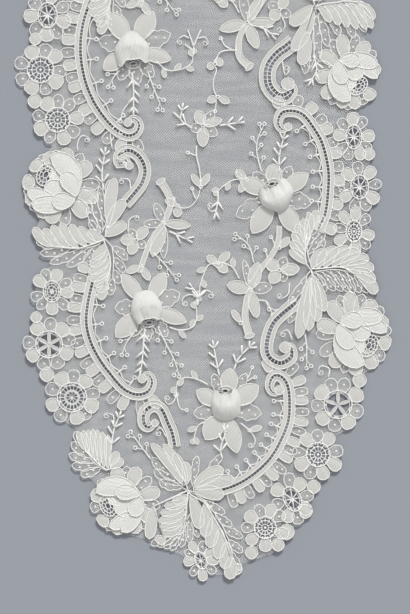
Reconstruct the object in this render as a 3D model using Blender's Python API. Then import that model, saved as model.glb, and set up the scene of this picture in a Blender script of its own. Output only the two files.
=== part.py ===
"""Lace mantilla: one long scarf of needle lace with two rounded, pointed ends, laid out flat.

The cloth is one wall. Its underside is flat, its net is thin, and its thick motifs are raised in the upper
face: border flowers, roses, leaf sprays, scrolled bands and middle flowers. The hollow petals that stand up
on the middle flowers and on the roses are pieces of their own. Half of the scarf is laid out in tables, and
the other half is the same half turned round the middle.

Units are metres, +Z is up, and the origin is under the middle of the scarf. In the tables a place is given
in millimetres: x from the centre line, and up from the lower tip.
"""

import math
from collections import namedtuple

import bmesh
import bpy
from mathutils import Vector
from mathutils.geometry import delaunay_2d_cdt

MM = 0.001

# Driving sizes
HALF_LENGTH = 684.6 * MM
REPEAT = 185.5 * MM
NET_TOP = 1.0 * MM
MOTIF_TOP = 1.8 * MM
BAND_TOP = 2.4 * MM
SEAM_GAP = 0.3 * MM
PETAL_WALL = 1.0 * MM
BAND_HALF_WIDTH = 4.8 * MM
BAND_END_SHARE = 0.6
WELD = 0.35 * MM
CDT_EPSILON = 0.02 * MM

# The edge of the net, inside the scalloped border
NetEdge = namedtuple("NetEdge", "up left right")
NET_EDGE = [
    NetEdge(9, -8, 16),
    NetEdge(20, -24, 40),
    NetEdge(29, -42, 53),
    NetEdge(42, -62, 66),
    NetEdge(62, -80, 80),
    NetEdge(82, -90, 90),
    NetEdge(104, -97, 96),
    NetEdge(136, -112, 109),
    NetEdge(165, -117, 116),
    NetEdge(684.6, -117, 117),
]
# Below this height the border turns round a point on the centre line
TURN_UP = 174 * MM

# Border flowers with an openwork wheel. With spokes, the gaps between them are cut through.
Wheel = namedtuple("Wheel", "x up wheel reach spokes copies")
WHEELS = [
    Wheel(-110, 394, 8.0, 17, 0, 2),
    Wheel(-115, 356, 9.4, 19, 0, 2),
    Wheel(-103, 321, 8.6, 18, 0, 2),
    Wheel(-107, 201, 7.0, 16, 0, 1),
    Wheel(-109, 164, 9.4, 19, 6, 1),
    Wheel(-93, 127, 10.0, 20, 0, 1),
    Wheel(104, 309, 7.4, 17, 0, 3),
    Wheel(108, 274, 7.6, 17, 0, 3),
    Wheel(104, 243, 7.0, 16, 0, 3),
    Wheel(93, 122, 9.6, 19, 5, 1),
    Wheel(79, 87, 8.2, 18, 0, 1),
    Wheel(61, 56, 7.4, 17, 0, 1),
    Wheel(42, 36, 7.4, 17, 0, 1),
    Wheel(-3, 13, 5.0, 13, 0, 1),
]
WHEEL_PETALS = 8
WHEEL_CORNERS = 8
WHEEL_VALLEY_SHARE = 0.45
SPOKE_HUB = 2.4 * MM
SPOKE_GAP_SHARE = 0.66
SPOKE_GAP_TOP = 0.9
SPOKE_GAP_SIDE = 0.77

# Border roses, each under a raised petal whose mouth faces the given way
Rose = namedtuple("Rose", "x up reach mouth copies")
ROSES = [
    Rose(-100, 274, 27, 150, 3),
    Rose(-57, 55, 26, 205, 1),
    Rose(100, 353, 24, -40, 2),
    Rose(105, 170, 26, -30, 1),
]
ROSE_PETALS = 11
ROSE_VALLEY_SHARE = 0.8

# Leaf sprays: the reach of each leaf tip in mm and its direction in degrees
Tip = namedtuple("Tip", "turn reach")
SIDE_SPRAY = [
    Tip(20, 19), Tip(57, 27), Tip(84, 41), Tip(105, 33), Tip(138, 30), Tip(170, 50),
    Tip(184, 48), Tip(198, 46), Tip(214, 37), Tip(264, 43), Tip(286, 36), Tip(315, 24),
]
TIP_SPRAY = [
    Tip(19, 37), Tip(46, 31), Tip(73, 27), Tip(107, 33), Tip(124, 41), Tip(166, 20), Tip(216, 26),
    Tip(236, 45), Tip(256, 44), Tip(290, 32), Tip(303, 64), Tip(320, 50),
]
LOW_SPRAY = [
    Tip(56, 13), Tip(83, 23), Tip(101, 28), Tip(112, 30), Tip(124, 32), Tip(142, 30), Tip(158, 27), Tip(180, 20),
]
Spray = namedtuple("Spray", "x up tips turn copies")
SPRAYS = [
    Spray(-71, 239, SIDE_SPRAY, 0, 3),
    Spray(77, 399, SIDE_SPRAY, 180, 2),
    Spray(74, 216, SIDE_SPRAY, 180, 1),
    Spray(-69, 76, LOW_SPRAY, 0, 1),
    Spray(-12, 62, TIP_SPRAY, 0, 1),
]
SPRAY_VALLEY_SHARE = 0.62

# Middle flowers, each under a raised petal
FLOWER = [
    Tip(21, 29), Tip(60, 30), Tip(121, 29), Tip(167, 25), Tip(217, 25), Tip(251, 25), Tip(276, 26), Tip(298, 25),
    Tip(344, 28),
]
FLOWER_VALLEY = 14 * MM
Flower = namedtuple("Flower", "x up turn mouth copies")
FLOWERS = [
    Flower(-51, 371, 0, -85, 2),
    Flower(-41, 190, 0, -80, 1),
    Flower(50, 268, 180, 115, 3),
    Flower(15, 118, 180, 90, 1),
]

# Centre lines of the scrolled bands: points from one end to the middle of the curl
Band = namedtuple("Band", "stations copies points")
BANDS = [
    Band(9, 2, [(-80, 404), (-86, 384), (-87, 367), (-84, 349), (-78, 334), (-70, 322), (-60, 312), (-50, 312),
                (-47, 320)]),
    Band(7, 3, [(-59, 290), (-59, 297), (-53, 299), (-46, 295), (-43, 284), (-46, 274), (-56, 262)]),
    Band(9, 1, [(-79, 211), (-83, 192), (-83, 174), (-78, 161), (-71, 150), (-63, 139), (-52, 130), (-41, 130),
                (-38, 138)]),
    Band(7, 1, [(-42, 106), (-44, 113), (-39, 120), (-31, 118), (-26, 109), (-23, 102), (-22, 93)]),
    Band(7, 2, [(60, 374), (53, 370), (46, 361), (44, 351), (47, 340), (55, 336), (60, 341)]),
    Band(9, 3, [(51, 318), (55, 327), (65, 327), (75, 317), (82, 304), (86, 287), (87, 270), (85, 256), (80, 241)]),
    Band(7, 1, [(59, 189), (51, 183), (45, 173), (43, 162), (48, 152), (56, 153), (58, 160)]),
    Band(10, 1, [(43, 136), (48, 143), (56, 139), (59, 126), (58, 115), (54, 101), (46, 85), (36, 74), (25, 67),
                 (13, 64)]),
]

# Raised petals: half sizes across and along the mouth's direction, and heights
CUP_HALF = (11.5 * MM, 12.5 * MM)
CUP_HEIGHT = 8 * MM
CUP_MOUTH_LIFT = 3.5 * MM
ROSE_HALF = (15 * MM, 13.5 * MM)
ROSE_HEIGHT = 5.5 * MM
ROSE_MOUTH_LIFT = 2.2 * MM
PETAL_SIDES = 10
PETAL_RINGS = 3

# Which region wins where outlines overlap, from the strongest, and how high each one stands
LEVELS = [("hole", None), ("web", NET_TOP), ("band", BAND_TOP), ("motif", MOTIF_TOP), ("net", NET_TOP)]


# Half the width of a round petal's end, as a share of the step from petal to petal
PETAL_END_SHARE = 0.22
# A petal is hidden in the cloth where the cosine of its turn from the way out is below this
FACES_IN = -0.1


def in_frame(x_mm, up_mm):
    """A table's place as a point of the frame."""
    return Vector((x_mm * MM, up_mm * MM - HALF_LENGTH))


def polar(centre, degrees, radius):
    angle = math.radians(degrees)
    return centre + Vector((math.cos(angle), math.sin(angle))) * radius


def repeats_of(row):
    """How far up each copy of a table's row lies."""
    return [n * REPEAT for n in range(row.copies)]


def outward(centre):
    """The direction in degrees from the middle of the cloth to its border at this place."""
    start = Vector((0, max(centre.y, TURN_UP - HALF_LENGTH)))
    way = centre - start
    return math.degrees(math.atan2(way.y, way.x))


def lobed(centre, valley, reach, lobes, faces_out):
    """A round flower's outline. Petals that face into the cloth, where they are hidden, get one corner each."""
    points = []
    step = 360 / lobes
    for n in range(lobes):
        middle = n * step
        if math.cos(math.radians(middle - faces_out)) < FACES_IN:
            points.append(polar(centre, middle, (valley + reach) / 2))
            continue
        points.append(polar(centre, middle - step / 2, valley))
        points.append(polar(centre, middle - step * PETAL_END_SHARE, reach))
        points.append(polar(centre, middle + step * PETAL_END_SHARE, reach))
    return points


def starred(centre, tips, turn, valley_between):
    """The outline of leaves or petals that spread from one place, with a valley between each two tips."""
    points = []
    for this, after in zip(tips, tips[1:] + tips[:1]):
        gap = (after.turn - this.turn) % 360
        points.append(polar(centre, this.turn + turn, this.reach * MM))
        points.append(polar(centre, this.turn + turn + gap / 2, valley_between(this, after)))
    return points


def spray_valley(this, after):
    return min(this.reach, after.reach) * MM * SPRAY_VALLEY_SHARE


def flower_valley(_this, _after):
    return FLOWER_VALLEY


def through(points, count):
    """This many points at even steps of the smooth curve through the given points."""
    ends = [points[0] * 2 - points[1], *points, points[-1] * 2 - points[-2]]
    curve = []
    for n in range(count):
        place = n / (count - 1) * (len(points) - 1)
        k = min(int(place), len(points) - 2)
        t = place - k
        a, b, c, d = ends[k : k + 4]
        curve.append(0.5 * (2 * b + (c - a) * t + (2 * a - 5 * b + 4 * c - d) * t * t + (3 * b - a - 3 * c + d) * t**3))
    return curve


def band_quads(points, stations):
    """A band along a curve, as one four-sided outline between each two stations. It narrows at both ends."""
    curve = through(points, stations)
    sides = []
    for n, point in enumerate(curve):
        way = (curve[min(n + 1, stations - 1)] - curve[max(n - 1, 0)]).normalized()
        share = BAND_END_SHARE if n in (0, stations - 1) else 1
        across = Vector((-way.y, way.x)) * BAND_HALF_WIDTH * share
        sides.append((point + across, point - across))
    return [[a[1], b[1], b[0], a[0]] for a, b in zip(sides, sides[1:])]


def net_outline():
    left = [in_frame(row.left, row.up) for row in NET_EDGE[:-1]]
    right = [in_frame(row.right, row.up) for row in NET_EDGE[:-1]]
    half = [*reversed(left), *right]
    return half + [-point for point in half]


def wheel_regions(row, shift):
    centre = in_frame(row.x, row.up) + Vector((0, shift))
    valley = (row.wheel + (row.reach - row.wheel) * WHEEL_VALLEY_SHARE) * MM
    regions = [("motif", lobed(centre, valley, row.reach * MM, WHEEL_PETALS, outward(centre)))]
    rim = row.wheel * MM
    regions.append(("web", [polar(centre, 360 * n / WHEEL_CORNERS, rim) for n in range(WHEEL_CORNERS)]))
    for n in range(row.spokes):
        middle = 360 * (n + 0.5) / row.spokes
        spread = 180 / row.spokes * SPOKE_GAP_SHARE
        gap = [
            polar(centre, middle, SPOKE_HUB),
            polar(centre, middle - spread, rim * SPOKE_GAP_SIDE),
            polar(centre, middle, rim * SPOKE_GAP_TOP),
            polar(centre, middle + spread, rim * SPOKE_GAP_SIDE),
        ]
        regions.append(("hole", gap))
    return regions


def half_regions():
    """Every outline of one half of the scarf, as pairs of a level's name and a list of points."""
    regions = []
    for row in WHEELS:
        for shift in repeats_of(row):
            regions += wheel_regions(row, shift)
    for row in ROSES:
        for shift in repeats_of(row):
            centre = in_frame(row.x, row.up) + Vector((0, shift))
            reach = row.reach * MM
            regions.append(("motif", lobed(centre, reach * ROSE_VALLEY_SHARE, reach, ROSE_PETALS, outward(centre))))
    for row in SPRAYS:
        for shift in repeats_of(row):
            centre = in_frame(row.x, row.up) + Vector((0, shift))
            regions.append(("motif", starred(centre, row.tips, row.turn, spray_valley)))
    for row in FLOWERS:
        for shift in repeats_of(row):
            centre = in_frame(row.x, row.up) + Vector((0, shift))
            regions.append(("motif", starred(centre, FLOWER, row.turn, flower_valley)))
    for row in BANDS:
        for shift in repeats_of(row):
            line = [in_frame(*point) + Vector((0, shift)) for point in row.points]
            regions += [("band", quad) for quad in band_quads(line, row.stations)]
    return regions


def anticlockwise(outline):
    area = sum(a.x * b.y - b.x * a.y for a, b in zip(outline, outline[1:] + outline[:1]))
    return outline if area > 0 else outline[::-1]


def planned():
    """The scarf in plan: points, triangles and the height of each triangle."""
    half = half_regions()
    regions = [("net", net_outline()), *half, *((name, [-p for p in outline]) for name, outline in half)]
    points, outlines = [], []
    for _name, outline in regions:
        start = len(points)
        points += anticlockwise(outline)
        outlines.append(list(range(start, len(points))))
    inside = 1
    placed, _edges, faces, _v, _e, sources = delaunay_2d_cdt(points, [], outlines, inside, CDT_EPSILON)
    heights = dict(LEVELS)
    order = [name for name, _height in LEVELS]
    plan = bmesh.new()
    height_of = plan.faces.layers.float.new("height")
    corners = [plan.verts.new((p.x, p.y, 0)) for p in placed]
    for face, source in zip(faces, sources):
        kinds = {regions[s][0] for s in source}
        kind = next((name for name in order if name in kinds), None)
        if kind is None or kind == "hole":
            continue
        made = plan.faces.new([corners[v] for v in face])
        made[height_of] = heights[kind]
    bmesh.ops.remove_doubles(plan, verts=plan.verts, dist=WELD)
    bmesh.ops.delete(plan, geom=[v for v in plan.verts if not v.link_faces], context="VERTS")
    plan.verts.index_update()
    flat = [v.co.xy.copy() for v in plan.verts]
    triangles, tops = [], []
    for face in plan.faces:
        triangles.append([v.index for v in face.verts])
        tops.append(round(face[height_of] / MM, 3) * MM)
    plan.free()
    return flat, triangles, tops


def loops_of(border):
    """The closed loops that a list of directed edges makes."""
    after = dict(border)
    loops = []
    while after:
        start, point = after.popitem()
        loop = [start]
        while point != start:
            loop.append(point)
            point = after.pop(point)
        loops.append(loop)
    return loops


def underside(flat, loops):
    """Triangles that fill the loops and use only their points."""
    used = [v for loop in loops for v in loop]
    place = {v: n for n, v in enumerate(used)}
    edges = [(place[a], place[b]) for loop in loops for a, b in zip(loop, loop[1:] + loop[:1])]
    with_holes = 1
    made = delaunay_2d_cdt([flat[v] for v in used], edges, [], with_holes, 0.0)
    back = {n: used[sources[0]] for n, sources in enumerate(made[3])}
    corners = [[back[v] for v in face] for face in made[2]]
    return [face for face in corners if inside_loops(flat, loops, face)]


def inside_loops(flat, loops, face):
    """True where a triangle lies in the cloth and not in a hole of it, by counting the borders to its right."""
    x = sum(flat[v].x for v in face) / 3
    y = sum(flat[v].y for v in face) / 3
    crossed = 0
    for loop in loops:
        for a, b in zip(loop, loop[1:] + loop[:1]):
            p, q = flat[a], flat[b]
            if (p.y > y) != (q.y > y) and x < p.x + (y - p.y) / (q.y - p.y) * (q.x - p.x):
                crossed += 1
    return crossed % 2 == 1


def raised_wall(name, flat, triangles, tops):
    """The plan as one closed wall: each triangle at its own height, steps between heights, and a flat underside."""
    neighbour = {}
    for t, face in enumerate(triangles):
        for a, b in zip(face, face[1:] + face[:1]):
            neighbour[a, b] = t
    border = [(a, b) for a, b in neighbour if (b, a) not in neighbour]
    heights_at = [set() for _ in flat]
    for face, top in zip(triangles, tops):
        for v in face:
            heights_at[v].add(top)
    for a, b in border:
        heights_at[a].add(0.0)
        heights_at[b].add(0.0)
    points, index = [], {}

    def corner(v, height):
        if (v, height) not in index:
            index[v, height] = len(points)
            points.append((flat[v].x, flat[v].y, height))
        return index[v, height]

    faces = [[corner(v, top) for v in face] for face, top in zip(triangles, tops)]
    for (a, b), t in neighbour.items():
        high = tops[t]
        low = tops[neighbour[b, a]] if (b, a) in neighbour else 0.0
        if high <= low:
            continue
        near = [corner(a, h) for h in sorted(heights_at[a]) if low <= h <= high]
        far = [corner(b, h) for h in sorted(heights_at[b]) if low <= h <= high]
        faces += zipped(near, far)
    faces += [[corner(v, 0.0) for v in reversed(face)] for face in underside(flat, loops_of(border))]
    return new_object(name, points, faces)


def zipped(near, far):
    """Triangles between two upright rows of points."""
    faces = []
    i = j = 0
    while i < len(near) - 1 or j < len(far) - 1:
        if j < len(far) - 1 and (i == len(near) - 1 or (j + 1) * len(near) <= (i + 1) * len(far)):
            faces.append([near[i], far[j], far[j + 1]])
            j += 1
        else:
            faces.append([near[i], far[j], near[i + 1]])
            i += 1
    return faces


def raised_petal(name, centre, half, height, mouth_turn, mouth_lift):
    """A hollow petal of thin wall. Its rim rests just above the motif, and lifts on the side of its mouth."""
    base = MOTIF_TOP + SEAM_GAP
    turn = math.radians(mouth_turn)
    points = []
    for inset in (0.0, PETAL_WALL):
        for ring in range(PETAL_RINGS):
            rise = math.pi / 2 * ring / PETAL_RINGS
            for side in range(PETAL_SIDES):
                angle = 2 * math.pi * side / PETAL_SIDES
                along = math.cos(angle) * (half[1] - inset) * math.cos(rise)
                across = math.sin(angle) * (half[0] - inset) * math.cos(rise)
                lift = mouth_lift * max(0.0, math.cos(angle)) ** 2 * (1 - ring / PETAL_RINGS)
                points.append((
                    centre.x + along * math.cos(turn) - across * math.sin(turn),
                    centre.y + along * math.sin(turn) + across * math.cos(turn),
                    base + lift + (height - inset) * math.sin(rise),
                ))
        points.append((centre.x, centre.y, base + height - inset))
    shell = PETAL_SIDES * PETAL_RINGS + 1
    faces = []
    for start, outer in ((0, True), (shell, False)):
        for side in range(PETAL_SIDES):
            after = (side + 1) % PETAL_SIDES
            made = []
            for ring in range(PETAL_RINGS - 1):
                low = start + ring * PETAL_SIDES
                high = low + PETAL_SIDES
                made.append([low + side, low + after, high + after, high + side])
            last = start + (PETAL_RINGS - 1) * PETAL_SIDES
            made.append([last + side, last + after, start + shell - 1])
            faces += made if outer else [face[::-1] for face in made]
    for side in range(PETAL_SIDES):
        after = (side + 1) % PETAL_SIDES
        faces.append([after, side, shell + side, shell + after])
    return new_object(name, points, faces)


def new_object(name, points, faces):
    mesh = bpy.data.meshes.new(name)
    mesh.from_pydata([tuple(p) for p in points], [], faces)
    made = bpy.data.objects.new(name, mesh)
    bpy.context.scene.collection.objects.link(made)
    return made


def material(name, colour, roughness):
    made = bpy.data.materials.new(name)
    made.use_nodes = True
    shader = made.node_tree.nodes["Principled BSDF"]
    shader.inputs["Base Color"].default_value = (*colour, 1)
    shader.inputs["Roughness"].default_value = roughness
    shader.inputs["Metallic"].default_value = 0
    return made


def build_petals(rows, word, half, height, lift, finish):
    """The raised petals of one kind, on both halves of the scarf."""
    count = 0
    for row in rows:
        for shift in repeats_of(row):
            centre = in_frame(row.x, row.up) + Vector((0, shift))
            for place, turn in ((centre, row.mouth), (-centre, row.mouth + 180)):
                count += 1
                petal = raised_petal(f"{word}_{count:02d}", place, half, height, turn, lift)
                petal.data.materials.append(finish)
                petal.data.shade_smooth()


def build():
    for old in list(bpy.data.objects):
        bpy.data.objects.remove(old)
    cloth = material("ivory_lace", (0.80, 0.79, 0.75), 0.85)
    petal_cloth = material("ivory_raised_petal", (0.84, 0.83, 0.79), 0.8)
    rose_cloth = material("ivory_rose_petal", (0.84, 0.83, 0.79), 0.8)
    scarf = raised_wall("lace_ground", *planned())
    scarf.data.materials.append(cloth)
    build_petals(FLOWERS, "flower_cup", CUP_HALF, CUP_HEIGHT, CUP_MOUTH_LIFT, petal_cloth)
    build_petals(ROSES, "rose_petal", ROSE_HALF, ROSE_HEIGHT, ROSE_MOUTH_LIFT, rose_cloth)


build()
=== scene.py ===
"""The looks of the lace mantilla: net, dense and sheer petals, outline cords, openwork and raised petals.

Half of the scarf is laid out in tables, in mm: x from the centre line, and up from the lower tip. Some rows
repeat along the scarf, and the other half is the same half turned round the middle.
"""

import math
from collections import namedtuple

import bmesh
import bpy
import numpy as np
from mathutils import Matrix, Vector
from mathutils.geometry import delaunay_2d_cdt


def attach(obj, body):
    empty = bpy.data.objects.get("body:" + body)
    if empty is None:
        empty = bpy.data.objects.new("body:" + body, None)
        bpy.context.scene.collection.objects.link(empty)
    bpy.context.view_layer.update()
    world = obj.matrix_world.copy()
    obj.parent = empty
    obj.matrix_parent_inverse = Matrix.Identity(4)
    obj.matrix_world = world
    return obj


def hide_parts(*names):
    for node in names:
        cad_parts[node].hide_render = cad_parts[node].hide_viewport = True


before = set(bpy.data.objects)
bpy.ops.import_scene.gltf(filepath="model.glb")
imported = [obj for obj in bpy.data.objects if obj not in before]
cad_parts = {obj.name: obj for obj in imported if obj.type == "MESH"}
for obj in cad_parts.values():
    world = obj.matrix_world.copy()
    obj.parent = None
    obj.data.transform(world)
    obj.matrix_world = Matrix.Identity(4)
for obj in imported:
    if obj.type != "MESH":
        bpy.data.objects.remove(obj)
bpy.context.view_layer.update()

MM = 0.001
HALF_LENGTH = 684.6
REPEAT = 185.5
# What one mm of cloth is in its UV map
UV_PER_MM = 0.1

# Heights above the floor, in mm
NET_Z = 0.9
SHEER_Z = 1.1
DENSE_Z = 1.35
TOP_Z = 1.9

# Half thickness of the cords, in mm
OUTLINE_CORD = 0.42
RING_CORD = 0.55
TWIG_CORD = 0.7
FERN_CORD = 0.9
BERRY_CORD = 0.45
FINE_THREAD = 0.28


class Cloth:
    """Meshes that are gathered into one piece: points in mm, faces, and each point's place in the weave."""

    def __init__(self, name):
        self.name = name
        self.points, self.faces, self.weave, self.kinds = [], [], [], []
        self.count = 0

    def add(self, points, faces, weave, kind=0):
        """Adds one mesh. Its kind is 0 for stitches and 1 for cords."""
        self.points.append(np.asarray(points, float))
        self.weave.append(np.asarray(weave, float))
        self.faces.append(np.asarray(faces) + self.count)
        self.kinds += [kind] * len(faces)
        self.count += len(points)

    def build(self, materials, slot, both_halves=True):
        points, weave = np.concatenate(self.points), np.concatenate(self.weave)
        quads, kinds = np.concatenate(self.faces), self.kinds
        if both_halves:
            quads = np.concatenate([quads, quads + len(points)])
            points = np.concatenate([points, points * (-1, -1, 1)])
            weave, kinds = np.tile(weave, (2, 1)), kinds * 2
        points[:, 2] += ripple(points[:, 0], points[:, 1])
        faces = [q[:3] if q[2] == q[3] else q for q in quads.tolist()]
        mesh = bpy.data.meshes.new(self.name)
        mesh.from_pydata((points * MM).tolist(), [], faces)
        layer = mesh.uv_layers.new(name="weave")
        corners = np.empty(len(mesh.loops), dtype=np.int32)
        mesh.loops.foreach_get("vertex_index", corners)
        layer.data.foreach_set("uv", (weave[corners] * UV_PER_MM).ravel())
        mesh.shade_smooth()
        for material in materials:
            mesh.materials.append(material)
        if len(materials) > 1:
            mesh.polygons.foreach_set("material_index", kinds)
        made = bpy.data.objects.new(self.name, mesh)
        bpy.context.scene.collection.objects.link(made)
        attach(made, "root")
        return made


class Plan:
    """What the layout gathers: fills by kind, cords in use, outlines of petals, and holes in the net."""

    def __init__(self, fill, cord):
        self.fill = fill
        self.cord = cord
        self.outlines = []
        self.gaps = []
        self.level = 0


# How far the cloth stands off the floor, in mm: on average, and by its long and its short swells
LIFT = 0.7
LONG_SWELL = 0.5
SHORT_SWELL = 0.3


def ripple(x, y):
    """The cloth's height at a place: low swells, uneven in length and direction."""
    long = np.sin(x / 31 + y / 83 + 1.3) * np.sin(y / 57 - x / 140)
    short = np.sin(y / 23 + x / 41) * np.sin(x / 37 - y / 190 + 0.7)
    return LIFT + LONG_SWELL * long + SHORT_SWELL * short


def at(x, up):
    """A table's place, in mm from the middle of the scarf."""
    return np.array((x, up - HALF_LENGTH), float)


def way(degrees):
    """A unit vector in this direction, counted from +X towards +Y."""
    return np.array((math.cos(math.radians(degrees)), math.sin(math.radians(degrees))))


def turn_between(first, second):
    """The angle between two directions in degrees, whichever way round is shorter."""
    return abs((first - second + 180) % 360 - 180)


HAND = np.random.default_rng(17)


def uneven(size, share):
    """A size with the small chance difference of handwork."""
    return size * (1 + share * HAND.uniform(-1, 1))


def shifts(copies):
    """How far each copy of a row lies up the scarf."""
    return [np.array((0.0, n * REPEAT)) for n in range(copies)]


def smooth_through(points, count, closed=False):
    """Evenly spaced points on a smooth curve through the given ones."""
    points = np.asarray(points, float)
    if closed:
        ends = np.concatenate([points[-1:], points, points[:2]])
    else:
        ends = np.concatenate([2 * points[:1] - points[1:2], points, 2 * points[-1:] - points[-2:-1]])
    spans = len(ends) - 3
    place = np.linspace(0, spans, count * 4, endpoint=not closed)
    k = np.minimum(place.astype(int), spans - 1)
    t = (place - k)[:, None]
    a, b, c, d = ends[k], ends[k + 1], ends[k + 2], ends[k + 3]
    fine = 0.5 * (2 * b + (c - a) * t + (2 * a - 5 * b + 4 * c - d) * t**2 + (3 * b - a - 3 * c + d) * t**3)
    if closed:
        fine = np.concatenate([fine, fine[:1]])
    length = np.concatenate([[0], np.cumsum(np.linalg.norm(np.diff(fine, axis=0), axis=1))])
    steps = np.linspace(0, length[-1], count, endpoint=not closed)
    return np.stack([np.interp(steps, length, fine[:, n]) for n in range(fine.shape[1])], axis=1)


def leftwards(forward):
    """The direction to the left of this one."""
    return np.array((-forward[1], forward[0]))


def across(line, closed=False):
    """Unit vectors to the left of a line in plan."""
    if closed:
        step = np.roll(line, -1, axis=0) - np.roll(line, 1, axis=0)
    else:
        step = np.gradient(line, axis=0)
    step = step[:, :2] / (np.linalg.norm(step[:, :2], axis=1)[:, None] + 1e-9)
    return np.stack([-step[:, 1], step[:, 0]], axis=1)


def grid(rows, columns):
    """The faces of a net of points that lie in rows, each with one point more than it has columns."""
    faces = []
    for row in range(rows):
        for column in range(columns):
            here = row * (columns + 1) + column
            there = here + columns + 1
            faces.append((here, here + 1, there + 1, there))
    return faces


CORD_SIDES = 4


def cord(cloth, line, z, half, closed=False, taper=0.0):
    """A round cord along a line in plan. It thins towards its last end by taper."""
    line = np.asarray(line, float)
    count = len(line)
    side = across(line, closed)
    thick = half * (1 - taper * np.linspace(0, 1, count))
    height = np.broadcast_to(z, count)
    rings = []
    for n in range(CORD_SIDES):
        turn = math.tau * (n + 0.5) / CORD_SIDES
        plan = line[:, :2] + side * (math.cos(turn) * thick)[:, None]
        rings.append(np.column_stack([plan, height + math.sin(turn) * thick]))
    points = np.stack(rings, axis=1).reshape(-1, 3)
    last = count if closed else count - 1
    faces = []
    for k in range(last):
        here, there = k * CORD_SIDES, (k + 1) % count * CORD_SIDES
        for n in range(CORD_SIDES):
            after = (n + 1) % CORD_SIDES
            faces.append((here + n, there + n, there + after, here + after))
    if not closed:
        faces.append((0, 1, 2, 3))
        end = (count - 1) * CORD_SIDES
        faces.append((end + 3, end + 2, end + 1, end))
    run = np.repeat(np.linspace(0, 1, count) * count, CORD_SIDES)
    cloth.add(points, faces, np.column_stack([np.tile(np.arange(CORD_SIDES), count), run]), kind=1)


# A petal's outline: where it is widest, and how blunt it is at its root and at its tip
Shape = namedtuple("Shape", "widest root tip")
ROUND = Shape(0.6, 0.45, 0.36)
TAB = Shape(0.52, 0.16, 0.24)
LEAFLET = Shape(0.55, 0.75, 0.7)
FINGER = Shape(0.6, 0.5, 0.3)
JAGGED = Shape(0.58, 0.55, 0.5)
OVAL = Shape(0.5, 0.6, 0.6)
# A scalloped petal's lobes on each side, and how deep its notches are, as a share of its width
SCALLOPS = 3
NOTCH = 0.22
FILL_ALONG = 8
FILL_ACROSS = 4
EDGE_POINTS = 12
SCALLOP_POINTS = 19
EDGE_RISE = 0.2
# The worked dots on a sheer petal: their radius, how far apart they are, and their share of its width aside
DOT = 0.8
DOT_STEP = 7.5
DOT_ASIDE = 0.2
# Petals that meet lie on slightly different levels, in mm
LEVELS = 5
LEVEL_STEP = 0.05


class PetalPlan:
    """A petal's middle line and its half width, from 0 at its root to 1 at its tip."""

    def __init__(self, root, tip, width, shape, bow, scallop):
        self.root = np.asarray(root, float)
        run = np.asarray(tip, float) - self.root
        self.length = float(np.linalg.norm(run))
        self.forward = run / self.length
        self.left = leftwards(self.forward)
        self.width = width
        self.shape = shape
        self.bow = bow
        self.scallop = scallop

    def half_width(self, t):
        lean = np.clip(t, 0, 1) ** (math.log(0.5) / math.log(self.shape.widest))
        blunt = self.shape.root + (self.shape.tip - self.shape.root) * np.clip(t, 0, 1)
        wide = self.width / 2 * np.sin(math.pi * np.clip(lean, 0, 1)) ** blunt
        if self.scallop:
            wide = wide * (1 - NOTCH * np.abs(np.cos(math.pi * self.scallop * t)) ** 3)
        return wide

    def middle(self, t):
        t = np.asarray(t)[:, None]
        return self.root + self.length * (self.forward * t + self.left * self.bow * 4 * t * (1 - t))


def petal(
    plan, root, tip, width, kind, shape=ROUND, bow=0.0, z=None, crown=0.5, scallop=0, edge=OUTLINE_CORD
):
    """A petal or leaf from its root to its tip: fill, outline cord and, where it is sheer, dots."""
    if z is None:
        plan.level = plan.level % LEVELS + 1
        z = (DENSE_Z if kind == "dense" else SHEER_Z) + LEVEL_STEP * plan.level
    form = PetalPlan(root, tip, width, shape, bow, scallop)
    petal_fill(plan.fill[kind], form, z, crown)
    petal_edge(plan, form, z + EDGE_RISE, edge)
    if kind == "sheer":
        count = max(1, round(form.length / DOT_STEP))
        for n in range(count):
            aside = (n % 2 - 0.5) * width * (DOT_ASIDE if count > 1 else 0)
            place = form.middle([(n + 1.1) / (count + 1)])[0] + form.left * aside
            dot(plan, place, z + crown * 0.8 + EDGE_RISE, DOT)


def petal_fill(cloth, form, z, crown):
    """The petal's cloth, which is higher along its middle by crown."""
    along = (1 - np.cos(np.linspace(0, math.pi, FILL_ALONG + 1))) / 2
    centre, wide = form.middle(along), form.half_width(along)
    side = across(centre)
    points, weave = [], []
    for s in np.linspace(-1, 1, FILL_ACROSS + 1):
        rise = z + crown * (1 - s * s) * np.sin(math.pi * along) ** 0.5
        points.append(np.column_stack([centre + side * (wide * s)[:, None], rise]))
        weave.append(np.column_stack([wide * s, along * form.length]))
    cloth.add(np.concatenate(points), grid(FILL_ACROSS, FILL_ALONG), np.concatenate(weave))


def petal_edge(plan, form, z, half):
    """The cord round a petal. Its line is also kept, to find the net's edge from."""
    along = np.linspace(0.0, 1.0, SCALLOP_POINTS if form.scallop else EDGE_POINTS)
    centre = form.middle(along)
    out = across(centre) * form.half_width(along)[:, None]
    outline = np.concatenate([centre + out, (centre - out)[::-1]])
    apart = np.linalg.norm(outline - np.roll(outline, 1, axis=0), axis=1) > 0.05
    outline = outline[apart][::-1]
    plan.outlines.append(outline)
    cord(plan.cord, outline, z, half, closed=True)


DOT_SIDES = 5


def dot(plan, centre, z, radius):
    """A small worked dot on sheer ground."""
    ring = [centre + way(360 / DOT_SIDES * n) * radius for n in range(DOT_SIDES)]
    points = [(*p, z) for p in ring] + [(*centre, z + radius * 0.7)]
    faces = [(n, (n + 1) % DOT_SIDES, DOT_SIDES, DOT_SIDES) for n in range(DOT_SIDES)]
    plan.cord.add(points, faces, np.zeros((DOT_SIDES + 1, 2)))


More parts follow.
